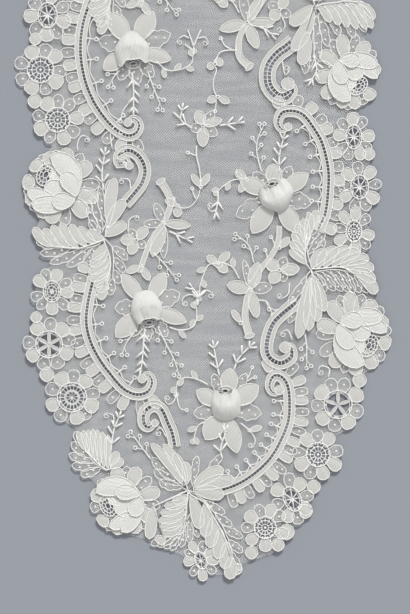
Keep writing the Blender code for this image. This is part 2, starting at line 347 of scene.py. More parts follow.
# Border flowers: the ring's half sizes and tilt, the reach of the petals, the kind of openwork,
# and the directions of the dense and of the sheer petals
Wheel = namedtuple("Wheel", "x up rx ry tilt reach work copies dense sheer")
WHEELS = [
    Wheel(-110, 394, 6.7, 8.8, 0, 17.5, "star", 2, (180, 268, 340, 80), (135, 230, 300, 30)),
    Wheel(-115, 356, 9.3, 9.0, 20, 18.5, "lattice", 2, (115, 40, 323, 245), (75, 355, 285, 205, 160)),
    Wheel(-103, 321, 8.6, 8.6, 0, 18, "lattice", 2, (125, 5, 287, 208), (90, 52, 322, 247, 167)),
    Wheel(-107, 201, 6.1, 7.5, 0, 16, "rings", 1, (270, 142, 75, 357), (233, 195, 110, 30, 312)),
    Wheel(-109, 164, 9.4, 9.4, 0, 18.5, "six", 1, (125, 48, 333, 212), (88, 12, 295, 255, 173)),
    Wheel(-93, 127, 10.3, 10.3, 0, 19.5, "double", 1, (120, 50, 338, 282, 200), (155, 86, 8, 310, 238)),
    Wheel(104, 309, 5.6, 8.4, 0, 16, "star", 3, (95, 5, 292, 175), (60, 322, 255, 225, 130)),
    Wheel(108, 274, 6.2, 8.4, 0, 17, "star", 3, (130, 55, 323, 215), (95, 12, 288, 255, 172)),
    Wheel(104, 243, 5.6, 7.5, 0, 16, "lattice", 3, (122, 85, 345, 275, 212), (45, 312, 245, 165)),
    Wheel(93, 122, 9.8, 9.8, 0, 19, "five", 1, (145, 27, 298, 223), (110, 75, 340, 262, 182)),
    Wheel(79, 87, 8.4, 8.4, 0, 18, "lattice", 1, (130, 55, 328, 285, 210), (93, 12, 248, 173)),
    Wheel(61, 56, 6.0, 9.0, 25, 17, "star", 1, (62, 150, 257, 318), (97, 200, 285, 12)),
    Wheel(42, 36, 7.8, 7.6, 0, 17, "lattice", 1, (142, 72, 340, 272, 222), (107, 37, 306, 180)),
    Wheel(-3, 13, 4.0, 6.3, 22, 13.5, "star", 1, (120, 42, 358, 280, 185), (82, 318, 238, 150)),
]
# Where a petal starts inside its ring, how much wider petals are than their share of it, and what is added
PETAL_ROOT = 0.86
PETAL_SPREAD = 1.28
PETAL_EXTRA = 1.6
# How much narrower the sheer petals are, and how uneven the petals' turns are, in degrees
SHEER_WIDTH = 0.88
TURN_UNEVEN = 3

# Small round petals at the very edge, between the flowers
Round = namedtuple("Round", "x up radius copies")
ROUNDS = [
    Round(-118.5, 377.5, 4.3, 2),
    Round(-119, 334, 5.0, 2),
    Round(-118, 183, 4.0, 1),
    Round(-110.5, 143, 5.2, 1),
    Round(114.5, 297, 4.4, 3),
    Round(108, 139, 5.0, 1),
    Round(76, 64.5, 4.8, 1),
    Round(32.5, 18.5, 4.6, 1),
    Round(70, 49, 5.0, 1),
    Round(57, 33, 5.6, 1),
    Round(51, 24, 4.6, 1),
    Round(22, 7, 4.2, 1),
]


def ellipse(centre, rx, ry, tilt, count, share=1.0):
    """Points round an ellipse, or round the one inside it that is this share of its size."""
    turn = np.linspace(0, math.tau, count, endpoint=False)
    lean = math.radians(tilt)
    x, y = rx * share * np.cos(turn), ry * share * np.sin(turn)
    cos, sin = math.cos(lean), math.sin(lean)
    return centre + np.column_stack([x * cos - y * sin, x * sin + y * cos])


def ring_reach(row, degrees):
    """How far the ring is from its middle in this direction."""
    turn = math.radians(degrees - row.tilt)
    return 1 / math.hypot(math.cos(turn) / row.rx, math.sin(turn) / row.ry)


def wheel(plan, row, shift):
    """A border flower: sheer petals, dense petals over them, its ring and its openwork."""
    centre = at(row.x, row.up) + shift
    mean = (row.rx + row.ry) / 2
    wide = math.tau * mean / (len(row.dense) + len(row.sheer)) * PETAL_SPREAD + PETAL_EXTRA
    for kind, turns in (("sheer", row.sheer), ("dense", row.dense)):
        for degrees in turns:
            rim = ring_reach(row, degrees)
            root = centre + way(degrees) * rim * PETAL_ROOT
            turn = degrees + HAND.uniform(-TURN_UNEVEN, TURN_UNEVEN)
            tip = centre + way(turn) * (rim + uneven(row.reach - mean, 0.05))
            size = uneven(wide * (1.0 if kind == "dense" else SHEER_WIDTH), 0.08)
            petal(plan, root, tip, size, kind, shape_of(kind))
    ring(plan, centre, row, 1.0, TOP_Z, RING_CORD, 28)
    work, *sizes = OPENWORK[row.work]
    work(plan, centre, row, *sizes)
    plan.gaps.append(ellipse(centre, row.rx, row.ry, row.tilt, 16, 0.96))


def shape_of(kind):
    """Sheer petals are less even than dense ones: some are blunt, some come to a point."""
    if kind == "dense":
        return ROUND
    return Shape(HAND.uniform(0.5, 0.68), HAND.uniform(0.35, 0.6), HAND.uniform(0.25, 0.62))


def small_round(plan, row, shift):
    centre = at(row.x, row.up) + shift
    reach = np.array((0, row.radius))
    petal(plan, centre - reach, centre + reach, row.radius * 1.9, "dense", OVAL)


def spoke(plan, centre, row, degrees, inner, outer, half):
    rim = ring_reach(row, degrees)
    line = [centre + way(degrees) * rim * share for share in np.linspace(inner, outer, 3)]
    cord(plan.cord, line, DENSE_Z + 0.2, half)


def ring(plan, centre, row, share, z, half, count=20):
    cord(plan.cord, ellipse(centre, row.rx, row.ry, row.tilt, count, share), z, half, closed=True)


def broad_bars(plan, centre, row, spokes):
    """A few broad bars from the middle, inside a fine ring that short threads hold."""
    for n in range(spokes):
        turn = 90 + 360 / spokes * n
        root = centre + way(turn) * 0.4
        tip = centre + way(turn) * ring_reach(row, turn) * 0.98
        petal(plan, root, tip, 2.1, "dense", OVAL, crown=0.2, edge=0.26)
    ring(plan, centre, row, 0.83, DENSE_Z + 0.1, FINE_THREAD, 24)
    for n in range(24):
        spoke(plan, centre, row, 15 * n, 0.83, 0.99, FINE_THREAD * 0.8)


def round_web(plan, centre, row, spokes, shares):
    """Rings inside each other, with more threads between the outer ones, and a dot in the middle."""
    for share in shares:
        ring(plan, centre, row, share, DENSE_Z + 0.2, 0.4)
    for n in range(spokes):
        spoke(plan, centre, row, 360 / spokes * n, 0.5, 1.0, 0.34)
    for n in range(spokes // 2):
        spoke(plan, centre, row, 720 / spokes * n + 10, 0.05, 0.5, 0.3)
    dot(plan, centre, DENSE_Z + 0.2, 0.9)


def star(plan, centre, row, points):
    """Points that thin from the middle to the ring, and a fine ring between them."""
    mean = (row.rx + row.ry) / 2
    for n in range(points):
        turn = 360 / points * n + 10
        tip = centre + way(turn) * ring_reach(row, turn)
        cord(plan.cord, [centre, (centre + tip) / 2, tip], DENSE_Z + 0.2, 0.11 * mean, taper=0.75)
        spoke(plan, centre, row, turn + 22, 0.72, 1.0, FINE_THREAD)
    ring(plan, centre, row, 0.78, DENSE_Z, FINE_THREAD, 24)
    dot(plan, centre, DENSE_Z + 0.3, 0.18 * mean)


def lattice(plan, centre, row, spokes):
    """Threads from a small ring outwards, with a knot on each and between each two."""
    step = 360 / spokes
    for n in range(spokes):
        turn = step * n
        spoke(plan, centre, row, turn, 0.3, 1.0, 0.36)
        for aside, share, knot in ((0, 0.66, 0.8), (step / 2, 0.9, 0.65)):
            place = centre + way(turn + aside) * ring_reach(row, turn + aside) * share
            dot(plan, place, DENSE_Z + 0.2, knot)
    for share in (0.3, 0.66):
        ring(plan, centre, row, share, DENSE_Z + 0.1, 0.42)
    dot(plan, centre, DENSE_Z + 0.3, 1.0)


# The threads inside a border flower's ring
OPENWORK = {
    "six": (broad_bars, 6),
    "five": (broad_bars, 5),
    "double": (round_web, 18, (0.82, 0.5, 0.42)),
    "rings": (round_web, 12, (0.78, 0.52, 0.2)),
    "star": (star, 8),
    "lattice": (lattice, 12),
}


# Scrolled bands: centre lines, with the tabs on the outer side and the ringed points on the inner side.
# The outer side is to the left of the line when side is 1, and to the right of it when side is -1. The curl
# is at the line's first or last end. Ladder is half the ladder's width, and knob is the radius of the dense
# knob that the curl ends in.
Band = namedtuple("Band", "side curl ladder knob tabs reach thorns copies points")
BANDS = [
    Band(-1, "last", 1.25, 2.8, 16, 9.5, 6, 2, [(-77, 411), (-82, 399), (-86, 384), (-87, 367), (-84, 349),
         (-78, 334), (-70, 322), (-62, 314), (-54, 310), (-48, 312), (-46, 318), (-50, 322),
         (-54, 319)]),
    Band(1, "first", 1.5, 2.8, 0, 0, 0, 3, [(-53, 289), (-57, 294), (-59, 290), (-60, 295), (-57, 299),
         (-51, 299), (-45, 294), (-42, 286), (-44, 277), (-49, 270), (-56, 262)]),
    Band(-1, "last", 1.25, 3.0, 17, 10.0, 7, 1, [(-75, 221), (-79, 206), (-82, 192), (-83, 179), (-80, 166),
         (-74, 154), (-66, 143), (-57, 133), (-48, 129), (-40, 131), (-37, 138), (-40, 143),
         (-44, 140)]),
    Band(1, "first", 1.4, 2.6, 0, 0, 0, 1, [(-35, 109), (-40, 106), (-43, 110), (-42, 117), (-36, 121),
         (-30, 118), (-26, 109), (-23, 102), (-21, 92)]),
    Band(1, "last", 2.9, 4.6, 0, 0, 0, 2, [(62, 376), (57, 371.5), (52, 368), (47, 362.5), (44.2, 357),
         (43.4, 351), (44.3, 345.5), (47.6, 340.2), (52.5, 336.8), (57.5, 338), (60.5, 342), (58, 346)]),
    Band(1, "first", 1.25, 2.8, 13, 8.0, 7, 3, [(58, 316), (54, 314), (51, 319), (54, 326), (62, 327),
         (69, 324), (76, 315), (82, 304), (86, 287), (86, 272), (84, 256), (79, 243)]),
    Band(1, "last", 1.7, 4.0, 0, 0, 0, 1, [(65, 194), (56, 187), (48, 179), (44, 169), (43, 160), (46, 154),
         (53, 151), (60, 155), (60, 162), (56, 162)]),
    Band(1, "first", 1.25, 3.4, 18, 10.5, 9, 1, [(52, 132), (48, 130), (45, 135), (48, 142), (54, 141),
         (58, 134), (59, 122), (58, 110), (53, 97), (46, 85), (36, 75), (24, 67), (11, 62)]),
]
# The dense strips' width, the ladder's rungs, and the share of the band that has tabs, in mm and shares
STRIP = 2.6
BAND_POINTS = 70
RUNG_STEP = 2.2
RUNG_CORD = 0.27
RAIL_CORD = 0.36
TABBED = 0.86
# Where a band's thorns start and end along its line, by the end that its curl is at, and their reach
THORN_SPAN = {"first": (0.34, 0.93), "last": (0.12, 0.74)}
THORN_REACH = 6.2


def strip(plan, line, inner, outer, taper):
    """A dense strip between two distances from a line, with a cord on each of its edges."""
    side = across(line)
    inside = line + side * (inner * taper)[:, None]
    outside = line + side * (outer * taper)[:, None]
    rows = []
    for share, rise in ((0, -0.25), (0.5, 0.05), (1, -0.25)):
        place = inside * (1 - share) + outside * share
        rows.append(np.column_stack([place, np.full(len(line), TOP_Z + rise)]))
    count = len(line)
    faces = grid(2, count - 1)
    if outer < inner:
        faces = [face[::-1] for face in faces]
    run = np.linspace(0, count * 1.2, count)
    offsets = [np.full(count, inner + (outer - inner) * share) for share in (0, 0.5, 1)]
    weave = np.column_stack([np.concatenate(offsets), np.tile(run, 3)])
    plan.fill["dense"].add(np.concatenate(rows), faces, weave)
    cord(plan.cord, inside, TOP_Z, 0.4)
    cord(plan.cord, outside, TOP_Z, OUTLINE_CORD)


def band(plan, row, shift):
    """Two strips with a ladder between them, which narrow to a curl, and the tabs along them."""
    line = smooth_through([at(*p) + shift for p in row.points], BAND_POINTS)
    length = float(np.linalg.norm(np.diff(line, axis=0), axis=1).sum())
    share = np.linspace(0, 1, len(line))
    curl_first = row.curl == "first"
    to_curl = 1 - share if curl_first else share
    taper = np.clip((1 - to_curl) * 3.2 + 0.5, 0, 1)
    ladder = row.ladder
    for sign in (1, -1):
        strip(plan, line, sign * ladder, sign * (ladder + STRIP), taper)
    side = across(line)
    if ladder > 2:
        cord(plan.cord, line[4:-6], TOP_Z - 0.2, RAIL_CORD)
    rungs = round(length / (RUNG_STEP + 0.2 * ladder))
    for n in range(rungs):
        place = (n + 0.5) / rungs * (len(line) - 1)
        k = int(place)
        middle = line[k] + (line[min(k + 1, len(line) - 1)] - line[k]) * (place - k)
        reach = side[k] * ladder * taper[k] * 1.25
        cord(plan.cord, [middle - reach, middle + reach], TOP_Z - 0.3, RUNG_CORD)
    reach = side * (ladder * taper * 1.5)[:, None]
    gap = np.concatenate([line + reach, (line - reach)[::-1]])
    plan.gaps.append(gap[::2])
    end = line[0] if curl_first else line[-1]
    knob = np.array((0, row.knob))
    petal(plan, end - knob, end + knob, 2 * row.knob, "dense", OVAL, z=TOP_Z)
    edge = (ladder + STRIP) * 0.92
    for n in range(row.tabs):
        share_here = (n + 0.6) / row.tabs * TABBED + (0.12 if curl_first else 0.02)
        k = round(share_here * (len(line) - 1))
        out = side[k] * row.side
        root, tip = line[k] + out * edge, line[k] + out * (edge + uneven(row.reach, 0.08))
        wide = length * TABBED / row.tabs * (0.9 if n % 2 else 1.0)
        petal(plan, root, tip, wide, "sheer" if n % 2 else "dense", TAB, crown=0.3)
    if row.thorns:
        thorns(plan, row, line, side, edge)


def thorns(plan, row, line, side, edge):
    """Along a band's inner side: points with a ring on each, and a hollow scallop between each two."""
    first, last = THORN_SPAN[row.curl]
    tips = []
    for n in range(row.thorns):
        k = round((first + (last - first) * n / (row.thorns - 1)) * (len(line) - 1))
        out = -side[k] * row.side
        tips.append((line[k] + out * edge, line[k] + out * (edge + THORN_REACH)))
    for (root, tip), after in zip(tips, [*tips[1:], None]):
        cord(plan.cord, [root, (root + tip) / 2, tip], DENSE_Z, 0.95, taper=0.5)
        ringlet(plan, tip + (tip - root) / np.linalg.norm(tip - root) * 1.1, 1.25)
        if after is not None:
            low = (root + after[0]) / 2 + (tip - root) * 0.14
            sag = smooth_through([(root + tip) / 2, low, (after[0] + after[1]) / 2], 7)
            cord(plan.cord, sag, DENSE_Z, 0.5)


RINGLET_CORD = 0.58


def ringlet(plan, centre, radius, z=DENSE_Z):
    cord(plan.cord, ellipse(centre, radius, radius, 0, 9), z, RINGLET_CORD, closed=True)


# Leaf sprays, in mm from the place where the leaves meet. A group is leaves of one kind side by side: their
# count and width, how far they bow to the left, and the root and tip of some of them, as root x, root y,
# tip x and tip y. The rest are spaced between these.
Leaves = namedtuple("Leaves", "kind count width bow places")
SIDE_SPRAY = [
    Leaves("sheer", 5, 6.2, 0.05, [(-3, -5, -14, -17), (-7, -6.5, -23, -20.5), (-12.5, -7.5, -35, -19),
           (-20, -8.5, -43, -14), (-33, -6.5, -47, -2)]),
    Leaves("sheer", 4, 6.0, 0.06, [(6, -6.5, 16.5, -16), (7, -14, 14.5, -24.5), (7, -22.5, 11, -32),
           (6, -29, 4, -40.5)]),
    Leaves("sheer", 5, 5.6, 0.03, [(-3, 1, -9.5, 12), (-1.5, 2, -11, 23.5), (0.5, 6.5, -5, 32),
           (2.5, 11, -1, 37), (4.5, 14, 4, 40)]),
    Leaves("dense", 7, 6.6, 0.10, [(-35, -6.5, -48.5, 7), (-30.5, -7, -42, 6), (-24, -7.5, -36, 8.5),
           (-18, -8, -30.5, 10), (-12.5, -6.5, -24, 9.5), (-5, -4, -16.5, 7.5), (0, -2, -10, 5)]),
    Leaves("dense", 7, 6.2, 0.12, [(0.5, -33.5, -3.5, -43), (2.5, -29, -5, -37),
           (4.5, -23.5, -7, -33.5), (5, -19, -10, -29.5), (4.5, -14, -11, -24.5), (3, -9.5, -10, -19.5),
           (1, -4.5, -8, -15)]),
    Leaves("dense", 3, 8.0, 0.03, [(3.5, 8, 8, 41.5), (2, 6, 15, 27), (1.5, 0.5, 16, 9.5)]),
]
TOP_SPRAY = [
    Leaves("sheer", 4, 6.4, 0.04, [(29, 5, 41, -6), (22, 2, 33, -20), (14, 0, 26, -21),
           (8, -2, 17, -19)]),
    Leaves("sheer", 4, 6.6, 0.0, [(3, -3, 9, -27), (1, -4, 3, -36), (-1, -5, -2, -40),
           (-6, -21, -7, -46)]),
    Leaves("sheer", 3, 5.6, 0.04, [(3, 5, 16, 19), (-5, 7, -15, 25), (-6, 29, -4, 40)]),
    Leaves("dense", 7, 5.6, 0.10, [(30, 4, 41, -8), (24, 5, 39, -16), (19.5, 5, 35, -15),
           (15, 4, 29, -15), (10, 3.5, 22.5, -13.5), (5, 3, 16, -12), (1.5, 1.5, 10.5, -10)]),
    Leaves("dense", 7, 6.2, 0.12, [(-0.5, 33.5, 3.5, 43), (-2.5, 29, 5, 37), (-4.5, 23.5, 7, 33.5),
           (-5, 19, 10, 29.5), (-4.5, 14, 11, 24.5), (-3, 9.5, 10, 19.5), (-1, 4.5, 8, 15)]),
    Leaves("dense", 3, 9.0, 0.04, [(-6, -16, -10, -40), (-1, -2, -16, -31), (-1, 2, -18, -11)]),
]
RIGHT_SPRAY = [
    Leaves("sheer", 4, 5.6, 0.0, [(0, 3, 9.5, 21.5), (-2, 10, 10, 26), (-3, 16, 7, 32),
           (0, 24, 9, 38)]),
    Leaves("sheer", 7, 6.6, 0.06, [(30, -2.5, 39.5, -16), (26, -1, 34.5, -16), (21, 0, 31, -16),
           (14, 0.5, 27, -15.5), (8, -0.5, 22, -15), (3.5, -1, 17, -14.5), (1.6, -2, 10, -15.5)]),
    Leaves("sheer", 2, 5.4, 0.04, [(-3, -4, -16, -23), (-5.5, -18, -16, -37)]),
    Leaves("dense", 7, 6.4, -0.05, [(-3, 25, 4, 42), (-4, 19.5, -2, 38.5), (-4, 13, -11, 31),
           (-4, 8.5, -14, 21.5), (-3, 4, -15, 14)]),
    Leaves("dense", 8, 8.2, 0.13, [(31, -3, 45, -17), (26, 0, 44, -6.5), (22.5, 2, 43, 4),
           (15, 2, 35, 12), (6.5, 1, 24, 15), (1, 1, 11, 13)]),
    Leaves("dense", 4, 8.4, 0.0, [(1, -3, 9.5, -29), (1.5, -4, 4, -37), (0.5, -5, -2, -43),
           (-0.5, -4, -9, -48)]),
]
LOW_SPRAY = [
    Leaves("sheer", 5, 6.8, 0.04, [(-13, 14, -22, 27), (-11, 8, -24.5, 18.5), (-9, 6, -26, 12),
           (-6, 3.5, -25, 5), (-4, 1.5, -18, -3)]),
    Leaves("dense", 2, 6.0, 0.05, [(3, 3, 8.5, 12.5), (3, 1, 12, 7)]),
    Leaves("dense", 7, 4.6, 0.0, [(-15, 14, -20, 27), (-10, 9, -13, 28.5), (-4, 3, -6, 28.5),
           (1, 0, 1, 25)]),
]
TIP_SPRAY = [
    Leaves("sheer", 3, 7.6, 0.05, [(-4, 2, -20, 6.5), (-4, 4, -24, 15), (-4, 5, -25, 23)]),
    Leaves("sheer", 4, 5.8, 0.0, [(3, 4, 6.5, 24), (5, 6, 14, 26), (16, 12, 27.5, 21),
           (8, -4, 18, -10)]),
    Leaves("sheer", 3, 6.2, 0.0, [(4, -13, 7, -33), (1, -17, 1, -37), (-1, -22, -5, -40)]),
    Leaves("sheer", 4, 5.8, 0.0, [(-9, -31, -26, -38), (-5, -31, -18, -40), (-3, -29, -12, -42)]),
    Leaves("sheer", 5, 6.0, -0.04, [(12, -7, 26, -16), (19, -16, 31, -25), (25, -26, 39, -34),
           (29, -36, 38, -45), (30, -42, 37, -56)]),
    Leaves("dense", 2, 8.0, 0.0, [(-24, -11, -27, -34), (-17, -32, -21, -37)]),
    Leaves("dense", 4, 6.4, -0.04, [(-3, 3, -26, 33), (-2, 5, -19, 34), (-1, 6, -13, 28),
           (-1, 4, -2, 20)]),
    Leaves("dense", 6, 6.2, 0.12, [(-3.5, -24, -18, -30), (-1.5, -19, -20, -25),
           (-1, -14, -20.5, -20.5), (-1, -10, -19.5, -16), (0, -6, -17, -11), (0, -3, -11, -7)]),
    Leaves("dense", 6, 8.6, 0.04, [(29.5, -46, 29, -62), (27.5, -37, 26, -56), (23, -27, 21, -49),
           (17, -17, 14.5, -39.5), (10, -6, 11, -31), (2, -3, 8, -27)]),
    Leaves("dense", 3, 9.4, 0.06, [(4, -1, 25, -4), (5, 1, 34, 10), (4, 2, 25, 15)]),
]
Spray = namedtuple("Spray", "x up leaves copies")
SPRAYS = [
    Spray(-71, 239, SIDE_SPRAY, 3),
    Spray(77, 399, TOP_SPRAY, 2),
    Spray(74, 216, RIGHT_SPRAY, 1),
    Spray(-69, 76, LOW_SPRAY, 1),
    Spray(-12, 62, TIP_SPRAY, 1),
]

# How much higher each leaf lies than the one before it, and half the thickness of the ribs, in mm
LEAF_LEVEL = 0.025
RIB = {"dense": 0.7, "sheer": 0.5}


def spray(plan, row, shift):
    """The groups of leaves of a spray, each with a rib from the place where they meet."""
    centre = at(row.x, row.up) + shift
    level = 0
    for group in row.leaves:
        leaves = smooth_through(group.places, group.count)
        for leaf in leaves:
            level += LEAF_LEVEL
            z = (DENSE_Z if group.kind == "dense" else SHEER_Z) + level
            petal(plan, centre + leaf[:2], centre + leaf[2:], group.width, group.kind,
                  JAGGED if group.kind == "sheer" else FINGER, bow=group.bow, z=z,
                  scallop=SCALLOPS if group.kind == "sheer" else 0)
        near = leaves[np.argsort(np.linalg.norm(leaves[:, :2], axis=1)), :2]
        rib = centre + np.concatenate([[(0, 0)], near])
        cord(plan.cord, rib, DENSE_Z + level + 0.2, RIB[group.kind])


# Roses: outer petals in the given directions, with their reach and how much taller the rose is than it is
# wide, and raised petals that open from a base towards the mouth
Rose = namedtuple("Rose", "x up reach tall mouth copies dense sheer")
ROSES = [
    Rose(-100, 274, 27, 1.0, 150, 3,
         (112, 82, 40, 342, 310, 252, 232, 202, 172, 140), (100, 58, 5, 322, 275, 215, 187, 125)),
    Rose(-55.5, 55, 24.5, 1.0, 205, 1,
         (108, 70, 15, 325, 290, 255, 222, 170), (88, 42, 350, 308, 238, 192, 145)),
    Rose(100, 354.5, 23.5, 1.14, -46, 2,
         (102, 53, 5, 316, 283, 258, 222, 190, 147), (120, 75, 33, 169, 238, 270, 300)),
    Rose(103.5, 171.5, 26.5, 1.11, -30, 1,
         (130, 95, 165, 235, 275, 305, 345, 20, 55), (112, 180, 210, 255, 322, 5, 38, 75)),
]
# The measures below are for a rose of this reach. Petals near the mouth's direction start farther out: each
# row has an angle from it, and the start of the petals within that angle.
ROSE_REACH = 27.0
ROSE_WIDTH = {"dense": 10.5, "sheer": 8.5}
Start = namedtuple("Start", "within start")
ROSE_STARTS = [Start(24, 19), Start(48, 14), Start(181, 9)]
ROSE_MOUTH = (14.0, -2.0)
ROSE_MOUTH_HALF = (6.0, 8.4)
ROSE_EYELETS = (((1.0, 0.5), (0.68, 0.42), (0.3, 0.42)), ((14, 0.68, 1.0), (8, 0.3, 0.68)))


def rose(plan, row, shift):
    """A rose's outer petals and the openwork in its mouth."""
    centre = at(row.x, row.up) + shift
    scale = row.reach / ROSE_REACH
    for kind, turns in (("sheer", row.sheer), ("dense", row.dense)):
        for degrees in turns:
            out = way(degrees)
            aside = turn_between(degrees, row.mouth)
            start = next(step.start for step in ROSE_STARTS if aside < step.within)
            root = centre + out * start * scale
            tip = centre + out * (1, row.tall) * uneven(row.reach, 0.03)
            petal(plan, root, tip, ROSE_WIDTH[kind] * scale, kind, shape_of(kind))
    mouth = centre + (way(row.mouth) * ROSE_MOUTH[0] + way(row.mouth + 90) * ROSE_MOUTH[1]) * scale
    eyelets(plan, mouth, np.array(ROSE_MOUTH_HALF) * scale, row.mouth, TOP_Z + 0.3, *ROSE_EYELETS)


EYELET_BAR = 0.34


def eyelets(plan, centre, half, turn, z, rings, rows):
    """Openwork in a mouth: rings, as share and thickness, and bars, as count, inner and outer share."""
    for share, thick in rings:
        cord(plan.cord, ellipse(centre, half[0], half[1], turn, 20, share), z, thick, closed=True)
    for count, inner, outer in rows:
        inside = ellipse(centre, half[0], half[1], turn, count, inner)
        outside = ellipse(centre, half[0], half[1], turn, count, outer)
        for root, tip in zip(inside, outside):
            cord(plan.cord, [root, (root + tip) / 2, tip], z, EYELET_BAR)
    plan.gaps.append(ellipse(centre, half[0], half[1], turn, 12, 0.9))


# Flat petals round one place: the direction, reach and width of the sheer ones, and of the dense ones,
# which lie over them
Petals = namedtuple("Petals", "sheer dense")


def in_order(petals):
    """Each petal's kind, direction, reach and width, with the sheer ones first."""
    for kind in Petals._fields:
        for turn, reach, width in getattr(petals, kind):
            yield kind, turn, reach, width


# Middle flowers: the flat petals round each raised cup, and the cup's measures
UPPER_LEFT_FLOWER = Petals(
    sheer=[
        (166, 24, 12.5), (21, 29, 13), (249, 24, 9), (278, 26, 9.5), (306, 25, 9)
    ],
    dense=[
        (121, 29.5, 13.5), (60, 30, 13.5), (344, 28.5, 10.5), (217, 25, 11.5)
    ],
)
LOWER_LEFT_FLOWER = Petals(
    sheer=[
        (181, 22, 12), (23, 25.5, 13), (244, 23, 9), (271, 24, 9), (305, 25, 9)
    ],
    dense=[
        (126, 29, 10.5), (62, 27.5, 11), (340, 30, 10), (224, 30, 13)
    ],
)
RIGHT_FLOWER = Petals(
    sheer=[
        (135, 23, 9), (64, 23, 9.5), (207, 32, 13.5), (347, 25, 12.5)
    ],
    dense=[
        (97, 22.5, 11.5), (35, 27, 11.5), (157, 28, 11.5), (237, 31.5, 13.5), (299, 29.5, 12.5)
    ],
)
LOWEST_FLOWER = Petals(
    sheer=[
        (189, 23, 11), (352, 25, 12.5), (110, 26, 7.5), (60, 28.5, 8)
    ],
    dense=[
        (84, 28.5, 12), (36, 28, 13.5), (148, 24.5, 11), (236, 26, 14), (284, 32, 11.5)
    ],
)
# Mouth is the direction of the cup's mouth, half is half its width, back and front are how far it reaches
# from the middle, base is how wide its base is as a share, and hang is how far its mouth's lobes hang out.
Flower = namedtuple("Flower", "x up petals mouth half back front base hang copies")
FLOWERS = [
    Flower(-51, 371, UPPER_LEFT_FLOWER, -85, 12.3, 12.5, 13.0, 0.45, 1.0, 2),
    Flower(-41, 190, LOWER_LEFT_FLOWER, -80, 11.2, 12.0, 13.0, 0.75, 0.6, 1),
    Flower(50, 268, RIGHT_FLOWER, 112, 12.2, 12.5, 10.5, 0.45, 0.95, 3),
    Flower(14.7, 119, LOWEST_FLOWER, 92, 10.4, 8.4, 15.0, 0.95, 0.9, 1),
]
CUP_HEIGHT = 7.6
CUP_MOUTH_HALF = (3.2, 5.4)
CUP_EYELETS = (((1.0, 0.5), (0.42, 0.45)), ((11, 0.42, 1.0),))
MOUTH_SHARE = 0.84
CUP_BASE = 2.1
# The cup's edge at the mouth: where each lobe is across the cup, how wide it is, and how far it hangs
Lobe = namedtuple("Lobe", "place width hang")
CUP_LOBES = [Lobe(-0.78, 0.26, 0.18), Lobe(0.8, 0.22, 0.14), Lobe(0.05, 0.4, 0.03)]
CUP_ROWS = 26
CUP_COLUMNS = 40
# Along the cup, from 0 at its base to 1 at its mouth: where it is full, from where it narrows, where its
# cloth ends before the lobes, and where its puffs are
CUP_FULL = 0.55
CUP_NARROWS = 0.5
CUP_END = 0.79
CUP_PUFFS = 0.74


# In mm from the flower's middle
PETAL_START = 6
# A petal within this angle of the mouth's direction starts beside the mouth, and has the first outline
NEAR_MOUTH = 35
BY_MOUTH = Shape(0.45, 0.2, 0.7)
BY_CUP = Shape(0.52, 0.5, 0.8)


def flower(plan, row, shift):
    """A middle flower's flat petals, and the openwork in its cup's mouth."""
    centre = at(row.x, row.up) + shift
    for kind, turn, reach, width in in_order(row.petals):
        out = way(turn)
        by_mouth = turn_between(turn, row.mouth) < NEAR_MOUTH
        start = row.front * MOUTH_SHARE + 0.5 if by_mouth else PETAL_START
        shape = BY_MOUTH if by_mouth else BY_CUP
        scallop = SCALLOPS if kind == "sheer" else 0
        root, tip = centre + out * start, centre + out * reach
        petal(plan, root, tip, width, kind, shape, scallop=scallop, crown=0.8)
    mouth = centre + way(row.mouth) * row.front * MOUTH_SHARE
    eyelets(plan, mouth, CUP_MOUTH_HALF, row.mouth, DENSE_Z + 0.8, *CUP_EYELETS)


def cup_shell(cloth, centre, turn, half, back, front, base, hang):
    """A hollow raised petal: folds run from its pinched base over a dome, and its mouth hangs in lobes."""
    forward, left = way(turn), way(turn + 90)
    drift = math.sin(centre[0] * 0.7 + centre[1] * 0.31)
    points, weave = [], []
    for row in range(CUP_ROWS + 1):
        t = row / CUP_ROWS
        swell = math.sin(min(1.0, t / CUP_FULL) * math.pi / 2)
        narrow = 1 - (0.42 - 0.3 * hang) * max(0.0, (t - CUP_NARROWS) / (1 - CUP_NARROWS)) ** 2
        wide = half * (base + (1 - base) * swell) * narrow
        dome = swell**0.8 * (1 - 0.3 * max(0.0, t - CUP_FULL) / (1 - CUP_FULL))
        for column in range(CUP_COLUMNS + 1):
            s = math.sin(math.pi * (column / CUP_COLUMNS - 0.5))
            lobes = [lobe.hang * math.exp(-(((s - lobe.place) / lobe.width) ** 2)) for lobe in CUP_LOBES]
            end = CUP_END + hang * sum(lobes)
            round_base = (2.0 + 6.0 * base) * (1 - math.sqrt(1 - 0.96 * s * s)) * (1 - t)
            ahead = t * end * (back + front) - back + round_base
            side = (1 - abs(s) ** 2.6) ** 0.6
            folds = 0.4 * math.sin(8 * s + 2.1 * drift + 1.2 * t) + 0.2 * math.sin(19 * s - 3 * drift)
            puffs = 0.35 * math.sin(6 * s + 1.5 + drift) * math.exp(-(((t - CUP_PUFFS) / 0.14) ** 2))
            rise = CUP_BASE + CUP_HEIGHT * dome * side * 0.86 + (folds * t + puffs) * side
            place = centre + forward * ahead + left * s * wide
            points.append((*place, rise))
            weave.append((s * 12, ahead))
    cloth.add(points, grid(CUP_ROWS, CUP_COLUMNS), weave)
    rim = np.array(points[-CUP_COLUMNS - 1 :])
    cord(cloth, rim[:, :2], rim[:, 2], 0.4)


